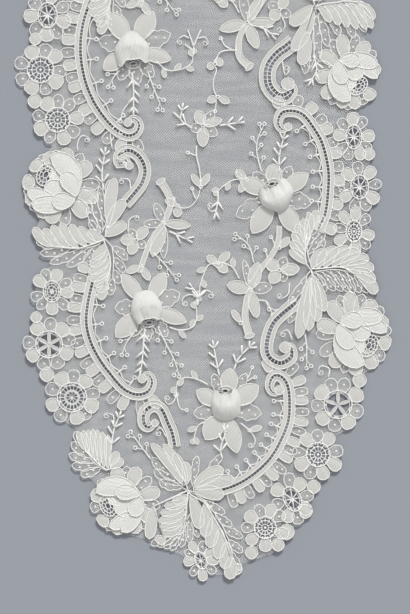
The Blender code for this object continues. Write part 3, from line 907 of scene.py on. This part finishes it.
# Twigs and small growths in the net. A fern has side twigs, berries have a ring on each side twig, and
# leaves have small leaves. A curl ends in a spiral and a stem in a ring. A twig is bare, a stalk is dense,
# and a trunk is a stalk that widens to a cut end.
Sprig = namedtuple("Sprig", "kind copies points")
SPRIGS = [
    # Round the lower-opening flowers, and the twigs in the middle beside them
    Sprig("fern", 2, [(-51, 354), (-50, 343), (-50, 328)]),
    Sprig("stem", 2, [(-51, 335), (-57, 328), (-59, 320)]),
    Sprig("berries", 2, [(-40, 355), (-38, 349), (-35, 341), (-31, 331)]),
    Sprig("berries", 2, [(-59, 356), (-63, 352), (-66, 347)]),
    Sprig("leaves", 2, [(-34, 362), (-27, 356), (-18, 356), (-10, 360), (-8, 367)]),
    Sprig("twig", 2, [(-8, 366), (-8, 372), (-12, 384)]),
    Sprig("twig", 2, [(-8, 372), (-6, 377), (-3, 384)]),
    Sprig("twig", 2, [(-8, 370), (-12, 372), (-14, 374)]),
    Sprig("curl", 2, [(-11, 378), (-15, 380), (-19, 377)]),
    Sprig("curl", 2, [(-5, 378), (0, 379), (2, 376)]),
    Sprig("curl", 2, [(-65, 301), (-66, 312), (-61, 318), (-57, 314)]),
    Sprig("fern", 2, [(-71, 272), (-72, 284), (-70, 298)]),
    Sprig("curl", 2, [(-52, 272), (-53, 279), (-58, 280)]),
    Sprig("curl", 2, [(-89, 299), (-89, 305), (-86, 310), (-82, 309)]),
    Sprig("fern", 2, [(-9, 315), (-13, 318), (-17, 321), (-16, 329)]),
    Sprig("stem", 2, [(-6, 303), (-6, 296), (-4, 287), (-3, 277), (-4, 270), (-6, 265), (-11, 260),
          (-18, 260), (-22, 266)]),
    Sprig("stem", 2, [(-6, 296), (-9, 297), (-12, 298)]),
    Sprig("stem", 2, [(-6, 265), (-8, 269), (-9, 273)]),
    Sprig("trunk", 2, [(-28, 250), (-24, 262), (-26, 270), (-31, 278)]),
    Sprig("stalk", 2, [(-28, 250), (-37, 238), (-42, 226), (-46, 214)]),
    Sprig("fern", 2, [(-25, 243), (-18, 240), (-12, 237)]),
    Sprig("berries", 2, [(-36, 228), (-29, 221), (-22, 212)]),
    Sprig("curl", 2, [(-54, 243), (-53, 251), (-49, 254)]),
    Sprig("fern", 1, [(-42, 176), (-43, 165), (-44, 152), (-45, 146)]),
    Sprig("berries", 1, [(-33, 176), (-27, 164), (-21, 152), (-19, 145)]),
    Sprig("berries", 1, [(-50, 172), (-55, 165), (-57, 160)]),
    Sprig("leaves", 1, [(-25, 176), (-17, 174), (-9, 176), (-6, 182), (-6, 191)]),
    Sprig("fern", 1, [(-6, 191), (-5, 198), (-9, 204)]),
    Sprig("curl", 1, [(-5, 197), (-10, 199), (-15, 197), (-16, 193)]),
    Sprig("curl", 1, [(-5, 197), (0, 202), (5, 200)]),
    Sprig("leaves", 1, [(8, 221), (2, 219), (-3, 207), (-4, 198)]),
    # The lower end, left
    Sprig("leaves", 1, [(2, 136), (-4, 139), (-13, 141), (-19, 138), (-20, 131)]),
    Sprig("stem", 1, [(-20, 131), (-19, 124), (-17, 119), (-13, 118)]),
    Sprig("curl", 1, [(-20, 129), (-22, 124), (-26, 122), (-28, 125)]),
    Sprig("fern", 1, [(-66, 89), (-64, 103), (-60, 114)]),
    Sprig("curl", 1, [(-64, 107), (-64, 114), (-68, 116)]),
    Sprig("berries", 1, [(-38, 84), (-45, 93), (-50, 100)]),
    Sprig("curl", 1, [(-27, 99), (-31, 106), (-34, 103)]),
    Sprig("leaves", 1, [(0, 110), (-5, 107), (-8, 98)]),
    # Round the upper-opening flowers, and the twigs in the middle beside them
    Sprig("fern", 3, [(52, 284), (52, 296), (55, 309)]),
    Sprig("berries", 3, [(40, 284), (38, 290), (36, 300), (37, 308), (40, 315)]),
    Sprig("leaves", 3, [(31, 275), (27, 279), (20, 279), (13, 275), (9, 271)]),
    Sprig("fern", 3, [(9, 271), (9, 264), (7, 255)]),
    Sprig("curl", 3, [(8, 258), (4, 257), (2, 260)]),
    Sprig("curl", 1, [(59, 207), (58, 199), (53, 196)]),
    Sprig("stalk", 3, [(52, 247), (51, 236), (47, 227), (40, 218), (32, 205)]),
    Sprig("trunk", 1, [(32, 203), (29, 195), (28, 182), (31, 170)]),
    Sprig("stem", 3, [(49, 231), (48, 236), (46, 239)]),
    Sprig("stem", 3, [(44, 224), (43, 227), (42, 230)]),
    Sprig("berries", 3, [(34, 221), (32, 230), (29, 235), (24, 239)]),
    Sprig("leaves", 3, [(24, 210), (20, 217), (14, 221), (9, 221)]),
    Sprig("berries", 1, [(37, 195), (43, 194), (46, 188)]),
    # The lower end, right
    Sprig("fern", 1, [(10, 142), (8, 152), (6, 163)]),
    Sprig("fern", 1, [(20, 146), (24, 155), (32, 163)]),
    Sprig("stem", 1, [(29, 139), (31, 143), (33, 148)]),
    Sprig("stem", 1, [(29, 138), (32, 140), (35, 141)]),
    Sprig("fern", 1, [(12, 84), (11, 92), (15, 104)]),
    Sprig("curl", 1, [(25, 109), (31, 104), (35, 98), (34, 93)]),
    Sprig("berries", 1, [(70, 171), (71, 162), (71, 151)]),
    Sprig("curl", 1, [(86, 141), (87, 147), (81, 149), (79, 145)]),
    Sprig("curl", 1, [(61, 167), (58, 174), (54, 173)]),
    # Near the photo's top
    Sprig("curl", 2, [(54, 393), (56, 387), (54, 383)]),
    Sprig("curl", 2, [(54, 362), (56, 352), (59, 356)]),
    Sprig("fern", 2, [(76, 366), (78, 356), (74, 348)]),
    Sprig("trunk", 2, [(29, 388), (24, 378), (24, 366), (31, 358)]),
    Sprig("fern", 2, [(38, 386), (43, 384), (47, 380)]),
    Sprig("stem", 2, [(24, 370), (12, 369), (8, 364), (6, 360), (8, 356), (6, 349), (6, 342), (8, 337),
          (7, 327)]),
    Sprig("stem", 2, [(19, 370), (14, 373), (11, 378)]),
    Sprig("fern", 2, [(10, 317), (16, 318), (24, 319)]),
]
# In mm: how far apart a twig's growths are, and how long they are
GROWTH_STEP = {"fern": 5.6, "berries": 4.8, "leaves": 7.5}
GROWTH_REACH = {"fern": 7.4, "berries": 5.0, "leaves": 7.2}
# How much shorter the growths are at the twig's end, as a share
GROWTH_SHRINK = 0.35
TWIG_STEP = 1.6
# Half a stalk's or trunk's width
TRUNK = 1.6


def sprig(plan, row, shift):
    """One twig, stalk or trunk with what grows from it."""
    points = [at(*p) + shift for p in row.points]
    reach = float(sum(np.linalg.norm(b - a) for a, b in zip(points, points[1:])))
    count = max(6, round(reach / TWIG_STEP))
    line = smooth_through(points, count)
    side = across(line)
    if row.kind == "stalk":
        strip(plan, line, -TRUNK, TRUNK, np.ones(len(line)))
        return
    if row.kind == "trunk":
        strip(plan, line, -TRUNK, TRUNK, np.linspace(1, 1.6, len(line)))
        flare = side[-1] * TRUNK * 2.3
        left, right = line[-1] - flare, line[-1] + flare
        petal(plan, left, right, TRUNK * 2.2, "dense", OVAL, z=TOP_Z - 0.1, crown=0.3)
        return
    thick = FERN_CORD if row.kind == "fern" else TWIG_CORD
    cord(plan.cord, line, DENSE_Z, thick, taper=0.1 if row.kind == "twig" else 0.3)
    if row.kind == "stem":
        ringlet(plan, line[-1], 1.1)
    if row.kind == "curl":
        spiral(plan, line)
    if row.kind in GROWTH_STEP:
        count_side = max(2, int(reach / GROWTH_STEP[row.kind]))
        for n in range(count_side):
            k = min(len(line) - 1, round((n + 0.9) / (count_side + 0.2) * (len(line) - 1)))
            sign = 1 if n % 2 else -1
            shrink = GROWTH_SHRINK * n / count_side
            growth(plan, row.kind, line[k], side[k], sign, 1 - shrink)
            if row.kind == "fern" and n % 3 != 1:
                growth(plan, row.kind, line[k], side[k], -sign, 0.9 - shrink)
        growth(plan, row.kind, line[-1], side[-1], 0, 0.7)


def growth(plan, kind, root, side, sign, size):
    """What grows from a stem: a bare twig, a twig with a ring on its end, or a small leaf."""
    forward = np.array((side[1], -side[0]))
    out = forward * 0.76 + side * 0.66 * sign
    tip = root + out * GROWTH_REACH[kind] * size
    if kind == "leaves":
        petal(plan, root, tip, 3.6, "dense", LEAFLET, crown=0.3, edge=0.34)
        return
    cord(plan.cord, [root, (root + tip) / 2, tip], DENSE_Z, FERN_CORD if kind == "fern" else BERRY_CORD)
    if kind == "berries":
        ringlet(plan, tip + out * 1.2, 1.2)


# The tight curl: its radius in mm, how many turns it makes, and how much smaller it is at its end
CURL = 2.1
CURL_TURNS = 1.1
CURL_SHRINK = 0.6
CURL_POINTS = 12


def spiral(plan, line):
    """The tight curl that a stem ends in."""
    end, before = line[-1], line[-3]
    forward = (end - before) / np.linalg.norm(end - before)
    run = end - line[0]
    sign = -1 if forward[0] * run[1] - forward[1] * run[0] > 0 else 1
    left = leftwards(forward) * sign
    coil = []
    for share in np.linspace(0, 1, CURL_POINTS):
        angle = share * math.tau * CURL_TURNS
        radius = CURL * (1 - CURL_SHRINK * share)
        coil.append(end + left * (CURL - radius * math.cos(angle)) + forward * radius * math.sin(angle))
    cord(plan.cord, coil, DENSE_Z + 0.05, OUTLINE_CORD)
    dot(plan, coil[-1], DENSE_Z, 0.7)


# Small flowers and leafy joints in the net: petals from one place
Bloom = namedtuple("Bloom", "x up copies petals")
BLOOMS = [
    Bloom(-1.5, 317, 2, Petals(
        [(200, 9, 6.5), (52, 13, 6), (325, 12, 7.5)],
        [(110, 11, 8), (270, 15, 8), (18, 14, 6)],
    )),
    Bloom(-48, 237, 2, Petals(
        [(122, 9, 6), (320, 8, 6)],
        [(180, 11, 7.5), (245, 11, 7.5), (50, 12, 7)],
    )),
    Bloom(-29, 249, 2, Petals(
        [(113, 15, 6.5), (184, 14, 6), (270, 25, 6)],
        [(354, 19, 6.5), (252, 25, 9)],
    )),
    Bloom(-45, 219, 2, Petals([], [(205, 11, 5), (302, 12, 5)])),
    Bloom(-3, 274, 2, Petals([], [(125, 11, 4.5), (57, 11, 4.5)])),
    Bloom(-19, 261, 2, Petals([], [(155, 10, 5), (268, 8, 6)])),
    Bloom(52, 216, 1, Petals(
        [(65, 10, 7), (298, 9, 6.5)],
        [(145, 11, 8.5), (235, 11, 8.5), (4, 14, 8.5)],
    )),
    Bloom(32, 202, 1, Petals([(103, 22, 5), (10, 15, 8)], [(75, 20, 9), (167, 17, 9), (282, 20, 7.5)])),
    Bloom(25, 179, 1, Petals([], [(124, 11, 4.5)])),
    Bloom(52, 231.5, 3, Petals([], [(45, 10, 5)])),
    Bloom(9, 221, 3, Petals([], [(150, 9, 5.5), (42, 11, 5.5), (315, 9, 6.5)])),
    Bloom(29, 279, 3, Petals([], [(135, 10, 5), (240, 10, 5)])),
    Bloom(9, 337, 2, Petals([], [(203, 8, 5), (335, 9, 5)])),
    Bloom(7, 360, 2, Petals([], [(205, 6, 5), (25, 6, 6)])),
    Bloom(29.5, 389, 2, Petals(
        [(100, 23, 6.5)],
        [(194, 20, 8), (2, 19.5, 6.5), (291, 19.5, 8), (61, 22, 7)],
    )),
    Bloom(31, 104, 1, Petals([], [(15, 9, 4)])),
    Bloom(52, 398, 2, Petals([(330, 9, 6.5), (150, 9, 6.5)], [(230, 9, 8), (60, 10, 7)])),
]


def bloom(plan, row, shift):
    """Petals from one place, and a ring over their roots."""
    centre = at(row.x, row.up) + shift
    for kind, turn, reach, width in in_order(row.petals):
        out = way(turn)
        petal(plan, centre + out * 0.8, centre + out * reach, width, kind, OVAL, crown=0.4)
    ringlet(plan, centre, 1.1, DENSE_Z + 0.5)


# The net's edge is found at rows this far apart, and lies this far inside the border's petals. Inside it,
# the net has points this far apart, up to this far from the centre line.
EDGE_STEP = 3.6
EDGE_INSET = 2.2
NET_STEP = 9.0
NET_REACH = 126


def net_outline(petals):
    """The edge of the net, a little inside the outermost petals on both sides."""
    points = np.concatenate(petals)
    points = np.concatenate([points, -points])
    rows = np.arange(-HALF_LENGTH + 3, HALF_LENGTH - 2, EDGE_STEP)
    sides = []
    for y in rows:
        near = points[np.abs(points[:, 1] - y) < EDGE_STEP * 0.6, 0]
        sides.append((near.min() + EDGE_INSET, near.max() - EDGE_INSET))
    sides = np.array(sides)
    soft = sides.copy()
    soft[1:-1] = (sides[:-2] + 2 * sides[1:-1] + sides[2:]) / 4
    left, right = np.column_stack([soft[:, 0], rows]), np.column_stack([soft[:, 1], rows])
    return np.concatenate([right, left[::-1]])


def net_sheet(petals, gaps):
    """The net as one sheet, cut away inside the wheels, the ladders and the flowers' mouths."""
    points, loops = [], []
    for loop in [net_outline(petals), *gaps, *(-gap for gap in gaps)]:
        start = len(points)
        area = np.sum(loop[:, 0] * np.roll(loop[:, 1], -1) - np.roll(loop[:, 0], -1) * loop[:, 1])
        points += (loop if area > 0 else loop[::-1]).tolist()
        loops.append(list(range(start, len(points))))
    for y in np.arange(-HALF_LENGTH + NET_STEP, HALF_LENGTH, NET_STEP):
        for x in np.arange(-NET_REACH, NET_REACH + 1, NET_STEP):
            points.append((x, y))
    inside_only, merge = 1, 0.01
    cut = delaunay_2d_cdt([Vector(p) for p in points], [], loops, inside_only, merge)
    corners, faces, face_loops = cut[0], cut[2], cut[5]
    # A face that lies in the net's own edge and in no hole belongs to the first loop alone
    faces = [face for face, within in zip(faces, face_loops) if list(within) == [0]]
    place = np.array([p[:] for p in corners])
    height = NET_Z + ripple(place[:, 0], place[:, 1])
    mesh = bpy.data.meshes.new("net_ground")
    mesh.from_pydata((np.column_stack([place, height]) * MM).tolist(), [], faces)
    drop_loose(mesh)
    mesh.shade_smooth()
    made = bpy.data.objects.new("net_ground", mesh)
    bpy.context.scene.collection.objects.link(made)
    return made


def drop_loose(mesh):
    """Removes the points that no face uses."""
    work = bmesh.new()
    work.from_mesh(mesh)
    bmesh.ops.delete(work, geom=[v for v in work.verts if not v.link_faces], context="VERTS")
    work.to_mesh(mesh)
    work.free()


class Nodes:
    """A material's node tree, built with short calls."""

    def __init__(self, name, colour, roughness):
        self.material = bpy.data.materials.new(name)
        self.material.use_nodes = True
        self.tree = self.material.node_tree
        self.shader = self.tree.nodes["Principled BSDF"]
        self.shader.inputs["Base Color"].default_value = (*colour, 1)
        self.shader.inputs["Roughness"].default_value = roughness
        self.shader.inputs["Specular IOR Level"].default_value = 0.3

    def node(self, kind, **settings):
        made = self.tree.nodes.new(kind)
        for key, value in settings.items():
            if hasattr(made, key):
                setattr(made, key, value)
            else:
                made.inputs[key].default_value = value
        return made

    def link(self, source, target):
        self.tree.links.new(source, target)

    def math(self, operation, a, b):
        made = self.node("ShaderNodeMath", operation=operation)
        for slot, value in zip(made.inputs, (a, b)):
            if isinstance(value, (int, float)):
                slot.default_value = value
            else:
                self.link(value, slot)
        return made.outputs[0]

    def ramp(self, value, low, high, start=0.0, end=1.0):
        made = self.node("ShaderNodeMapRange", interpolation_type="SMOOTHSTEP")
        for name, number in (("From Min", low), ("From Max", high), ("To Min", start), ("To Max", end)):
            made.inputs[name].default_value = number
        self.link(value, made.inputs["Value"])
        return made.outputs["Result"]

    def mix(self, share, first, second):
        made = self.node("ShaderNodeMix", data_type="RGBA")
        self.link(share, made.inputs["Factor"])
        made.inputs["A"].default_value = (*first, 1)
        made.inputs["B"].default_value = (*second, 1)
        self.link(made.outputs["Result"], self.shader.inputs["Base Color"])

    def bump(self, height, depth):
        made = self.node("ShaderNodeBump", Strength=1.0, Distance=depth * MM)
        self.link(height, made.inputs["Height"])
        self.link(made.outputs["Normal"], self.shader.inputs["Normal"])


# The ivory of the net and of the cord; the cord's ivory on its turns and the painted shade in the grooves
# between them; and the stitches' ivory on their ridges and the painted shade in their furrows. The raised
# petals' pair is painted lighter than the flat petals' pair, as if more lit.
IVORY_NET = (0.82, 0.81, 0.77)
IVORY_CORD = (0.87, 0.86, 0.82)
CORD_IVORY_AND_GROOVE_SHADE = (0.86, 0.85, 0.81), (0.95, 0.94, 0.91)
PETAL_IVORY_AND_FURROW_SHADE = (0.755, 0.745, 0.705), (0.555, 0.545, 0.51)
# The raised petals' pair: painted lighter, as if more lit, with painted shade in the furrows
RAISED_PAINTED_LIGHT_AND_FURROW_SHADE = (0.92, 0.91, 0.87), (0.70, 0.69, 0.65)
# How the net's meshes lie, in degrees, and how uneven they are
NET_TURN = 40
NET_UNEVEN = 0.55
# The net is drawn closer in long streaks across the scarf: their stretch, and the threads' share in them
STREAKS = (0.3, 1.8, 1)
THREAD_SHARES = (0.75, 1.3)
# Half the width of a thread's soft edge, as a share of a mesh
SOFT_EDGE = 0.03


def net_material(name, colour, pitch, thread):
    """Meshes of a net about pitch mm wide. Thread is half a thread's width, as a share of a mesh."""
    m = Nodes(name, colour, 0.85)
    place = m.node("ShaderNodeTexCoord").outputs["Object"]
    turned = m.node("ShaderNodeMapping", Rotation=(0, 0, math.radians(NET_TURN)))
    m.link(place, turned.inputs["Vector"])
    cells = m.node("ShaderNodeTexVoronoi", feature="DISTANCE_TO_EDGE", voronoi_dimensions="2D")
    cells.inputs["Scale"].default_value = 1 / (pitch * MM)
    cells.inputs["Randomness"].default_value = NET_UNEVEN
    m.link(turned.outputs["Vector"], cells.inputs["Vector"])
    drawn = m.node("ShaderNodeMapping", Scale=STREAKS)
    m.link(place, drawn.inputs["Vector"])
    streaks = m.node("ShaderNodeTexNoise", Scale=90.0, Detail=3.0)
    m.link(drawn.outputs["Vector"], streaks.inputs["Vector"])
    wide = m.ramp(streaks.outputs["Fac"], 0.35, 0.65, *(thread * share for share in THREAD_SHARES))
    far = m.math("SUBTRACT", cells.outputs["Distance"], wide)
    m.link(m.ramp(far, -SOFT_EDGE, SOFT_EDGE, 1.0, 0.0), m.shader.inputs["Alpha"])
    return m.material


def dense_material(name, ivory_and_shade, pitch, depth):
    """Close needle stitches in rows that follow each petal, pitch mm apart and raised by depth mm. Their
    furrows are painted darker, as shade, and a random grain varies the tone.
    """
    light, furrow_shade = ivory_and_shade
    m = Nodes(name, light, 0.82)
    place = m.node("ShaderNodeUVMap", uv_map="weave").outputs["UV"]
    split = m.node("ShaderNodeSeparateXYZ")
    m.link(place, split.inputs[0])
    wobble = m.node("ShaderNodeTexNoise", Scale=9.0, Detail=2.0)
    m.link(place, wobble.inputs["Vector"])
    even = m.math("MULTIPLY", split.outputs["X"], math.tau / (UV_PER_MM * pitch))
    drift = m.math("MULTIPLY", wobble.outputs["Fac"], 5.0)
    rows = m.math("SINE", m.math("ADD", even, drift), 0.0)
    along = m.math("MULTIPLY", split.outputs["Y"], math.tau / (UV_PER_MM * pitch * 0.8))
    loops = m.math("SINE", along, 0.0)
    relief = m.math("ADD", m.math("MULTIPLY", rows, 0.7), m.math("MULTIPLY", loops, 0.3))
    grain = m.node("ShaderNodeTexNoise", Scale=900.0, Detail=3.0)
    m.link(m.node("ShaderNodeTexCoord").outputs["Object"], grain.inputs["Vector"])
    height = m.math("ADD", relief, m.math("MULTIPLY", grain.outputs["Fac"], 1.1))
    # Painted shade: the colour goes to the dark one where the stitch relief is low, plus random grain
    m.mix(m.ramp(height, -0.5, 1.3), furrow_shade, light)
    m.bump(height, depth)
    m.shader.inputs["Sheen Weight"].default_value = 0.15
    return m.material


def cord_material():
    """Thread wound round a bundle: fine slanting turns, with painted shade in the grooves between them."""
    m = Nodes("outline_cord", IVORY_CORD, 0.75)
    turns = m.node("ShaderNodeTexWave", bands_direction="DIAGONAL", Scale=420.0, Distortion=2.0)
    m.link(m.node("ShaderNodeTexCoord").outputs["Object"], turns.inputs["Vector"])
    # Painted shade: the grooves between the turns get the darker ivory
    m.mix(turns.outputs["Fac"], *CORD_IVORY_AND_GROOVE_SHADE)
    m.bump(turns.outputs["Fac"], 0.12)
    return m.material


def layout(plan, cords):
    """Lays out all the flat cloth of one half. The cords of each part of the pattern are a piece."""
    for rows, make, part in (
        (WHEELS, wheel, "border"),
        (ROSES, rose, "roses"),
        (SPRAYS, spray, "sprays"),
        (FLOWERS, flower, "middle"),
        (BLOOMS, bloom, "middle"),
        (BANDS, band, "bands"),
        (SPRIGS, sprig, "middle"),
        (ROUNDS, small_round, "border"),
    ):
        plan.cord = cords[part]
        for row in rows:
            for shift in shifts(row.copies):
                make(plan, row, shift)


def raised_pieces(rows, word, make, materials, slot):
    """One piece for each raised petal, in both halves, in the order of the CAD nodes that they replace."""
    pieces = []
    for row in rows:
        for shift in shifts(row.copies):
            centre = at(row.x, row.up) + shift
            for place, turn in ((centre, row.mouth), (-centre, row.mouth + 180)):
                name = f"{word}_{len(pieces) + 1:02d}"
                cloth = make(f"stitched_{name}", place, turn, row)
                pieces.append(cloth.build(materials, slot, both_halves=False))
                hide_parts(name)
    return pieces


def make_cup(name, place, turn, row):
    cloth = Cloth(name)
    cup_shell(cloth, place, turn, row.half, row.back, row.front, row.base, row.hang)
    return cloth


# The raised petals of a rose, in mm from its middle: their roots and tips, ahead towards the mouth and to
# the left of that, and how high each lies above the first
RaisedPetal = namedtuple("RaisedPetal", "ahead side tip_ahead tip_side width bow crown level")
ROSE_PETALS = [
    RaisedPetal(-8, 0, 12, -9, 15, 0.0, 0.2, 0.0),
    RaisedPetal(-7, 3, 11, 5, 14, 0.0, 0.3, 0.3),
    RaisedPetal(-4, 8, 20, 13, 10.5, 0.1, 0.4, 0.3),
    RaisedPetal(-11, 3, 13, 20.5, 12.5, 0.08, 0.4, 0.6),
    RaisedPetal(-11, 1.5, 18, -15, 15, -0.2, 0.8, 0.8),
    RaisedPetal(-12, 2, 1, 12, 12, 0.05, 0.3, 1.3),
    RaisedPetal(-12, 1, 5, -8, 12, -0.1, 0.5, 1.7),
]
ROSE_Z = 2.2


def make_rose(name, place, turn, row):
    """Layered petals that spread from the rose's base towards its mouth."""
    cloth = Cloth(name)
    raised = Plan({"dense": cloth}, cloth)
    size = row.reach / ROSE_REACH
    ahead, left = way(turn) * size, way(turn + 90) * size
    for leaf in ROSE_PETALS:
        root = place + ahead * leaf.ahead + left * leaf.side
        tip = place + ahead * leaf.tip_ahead + left * leaf.tip_side
        petal(raised, root, tip, leaf.width * size, "dense", Shape(0.6, 0.5, 0.5), bow=leaf.bow,
              z=ROSE_Z + leaf.level, crown=leaf.crown, edge=0.45)
    return cloth


cords = {part: Cloth(f"cord_{part}") for part in ("border", "roses", "sprays", "middle", "bands")}
flat = Plan({"sheer": Cloth("sheer"), "dense": Cloth("dense")}, cords["border"])
layout(flat, cords)

net = net_sheet(flat.outlines, flat.gaps)
net.data.materials.append(net_material("fine_net", IVORY_NET, 1.3, 0.074))
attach(net, "root")
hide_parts("lace_ground")

thread = cord_material()
sheer_net = net_material("sheer_net", IVORY_NET, 0.95, 0.058)
petal_stitches = dense_material("petal_stitches", PETAL_IVORY_AND_FURROW_SHADE, 0.9, 0.13)
# The raised petals get a copy of the stitches painted lighter, as if more lit
raised_stitches_painted_lighter = dense_material("raised_stitches_painted_lighter", RAISED_PAINTED_LIGHT_AND_FURROW_SHADE, 0.95, 0.17)
sewn = [cloth.build([thread], "lace") for cloth in cords.values()]
sewn.append(flat.fill["sheer"].build([sheer_net], "lace"))
sewn.append(flat.fill["dense"].build([petal_stitches], "lace"))
sewn += raised_pieces(FLOWERS, "flower_cup", make_cup, [raised_stitches_painted_lighter, thread], "raised_petal")
sewn += raised_pieces(ROSES, "rose_petal", make_rose, [raised_stitches_painted_lighter, thread], "rose_petal")


# The suns: how far from overhead, their turn, how soft their shadows are, all in degrees, and their power
Sun = namedtuple("Sun", "name slant turn softness power")
SUNS = [Sun("key", 52, -16, 12, 2.6), Sun("fill", 40, 150, 60, 0.45)]
FLOOR_SIZE = 8
PALE_FLOOR = (0.31, 0.325, 0.355)
SKY = (0.95, 0.97, 1.0)
SKY_POWER = 0.45
# The middle of the photo's view, the camera's height above it, and the length of scarf that it shows, in m
VIEW_MIDDLE = Vector((0, -0.4944, 0))
CAMERA_HEIGHT = 1.6
FRAME_HEIGHT = 0.4298


def studio():
    """A plain pale floor, soft light from beyond the hidden end, and the camera straight above."""
    scene = bpy.context.scene
    bpy.ops.mesh.primitive_plane_add(size=FLOOR_SIZE, location=(0, 0, 0))
    floor = bpy.context.object
    floor.name = "floor"
    floor.data.materials.append(Nodes("pale_floor", PALE_FLOOR, 0.9).material)
    scene.world = bpy.data.worlds.new("studio")
    scene.world.use_nodes = True
    sky = scene.world.node_tree.nodes["Background"]
    sky.inputs["Color"].default_value = (*SKY, 1)
    sky.inputs["Strength"].default_value = SKY_POWER
    for sun in SUNS:
        light = bpy.data.lights.new(sun.name, "SUN")
        light.angle = math.radians(sun.softness)
        light.energy = sun.power
        lamp = bpy.data.objects.new(sun.name, light)
        lamp.rotation_euler = (math.radians(-sun.slant), 0, math.radians(sun.turn))
        scene.collection.objects.link(lamp)
    camera = bpy.data.objects.new("camera", bpy.data.cameras.new("camera"))
    scene.collection.objects.link(camera)
    camera.location = VIEW_MIDDLE + Vector((0, 0, CAMERA_HEIGHT))
    camera.data.lens = camera.data.sensor_width * CAMERA_HEIGHT / FRAME_HEIGHT
    scene.camera = camera
    scene.view_settings.view_transform = "Standard"


studio()
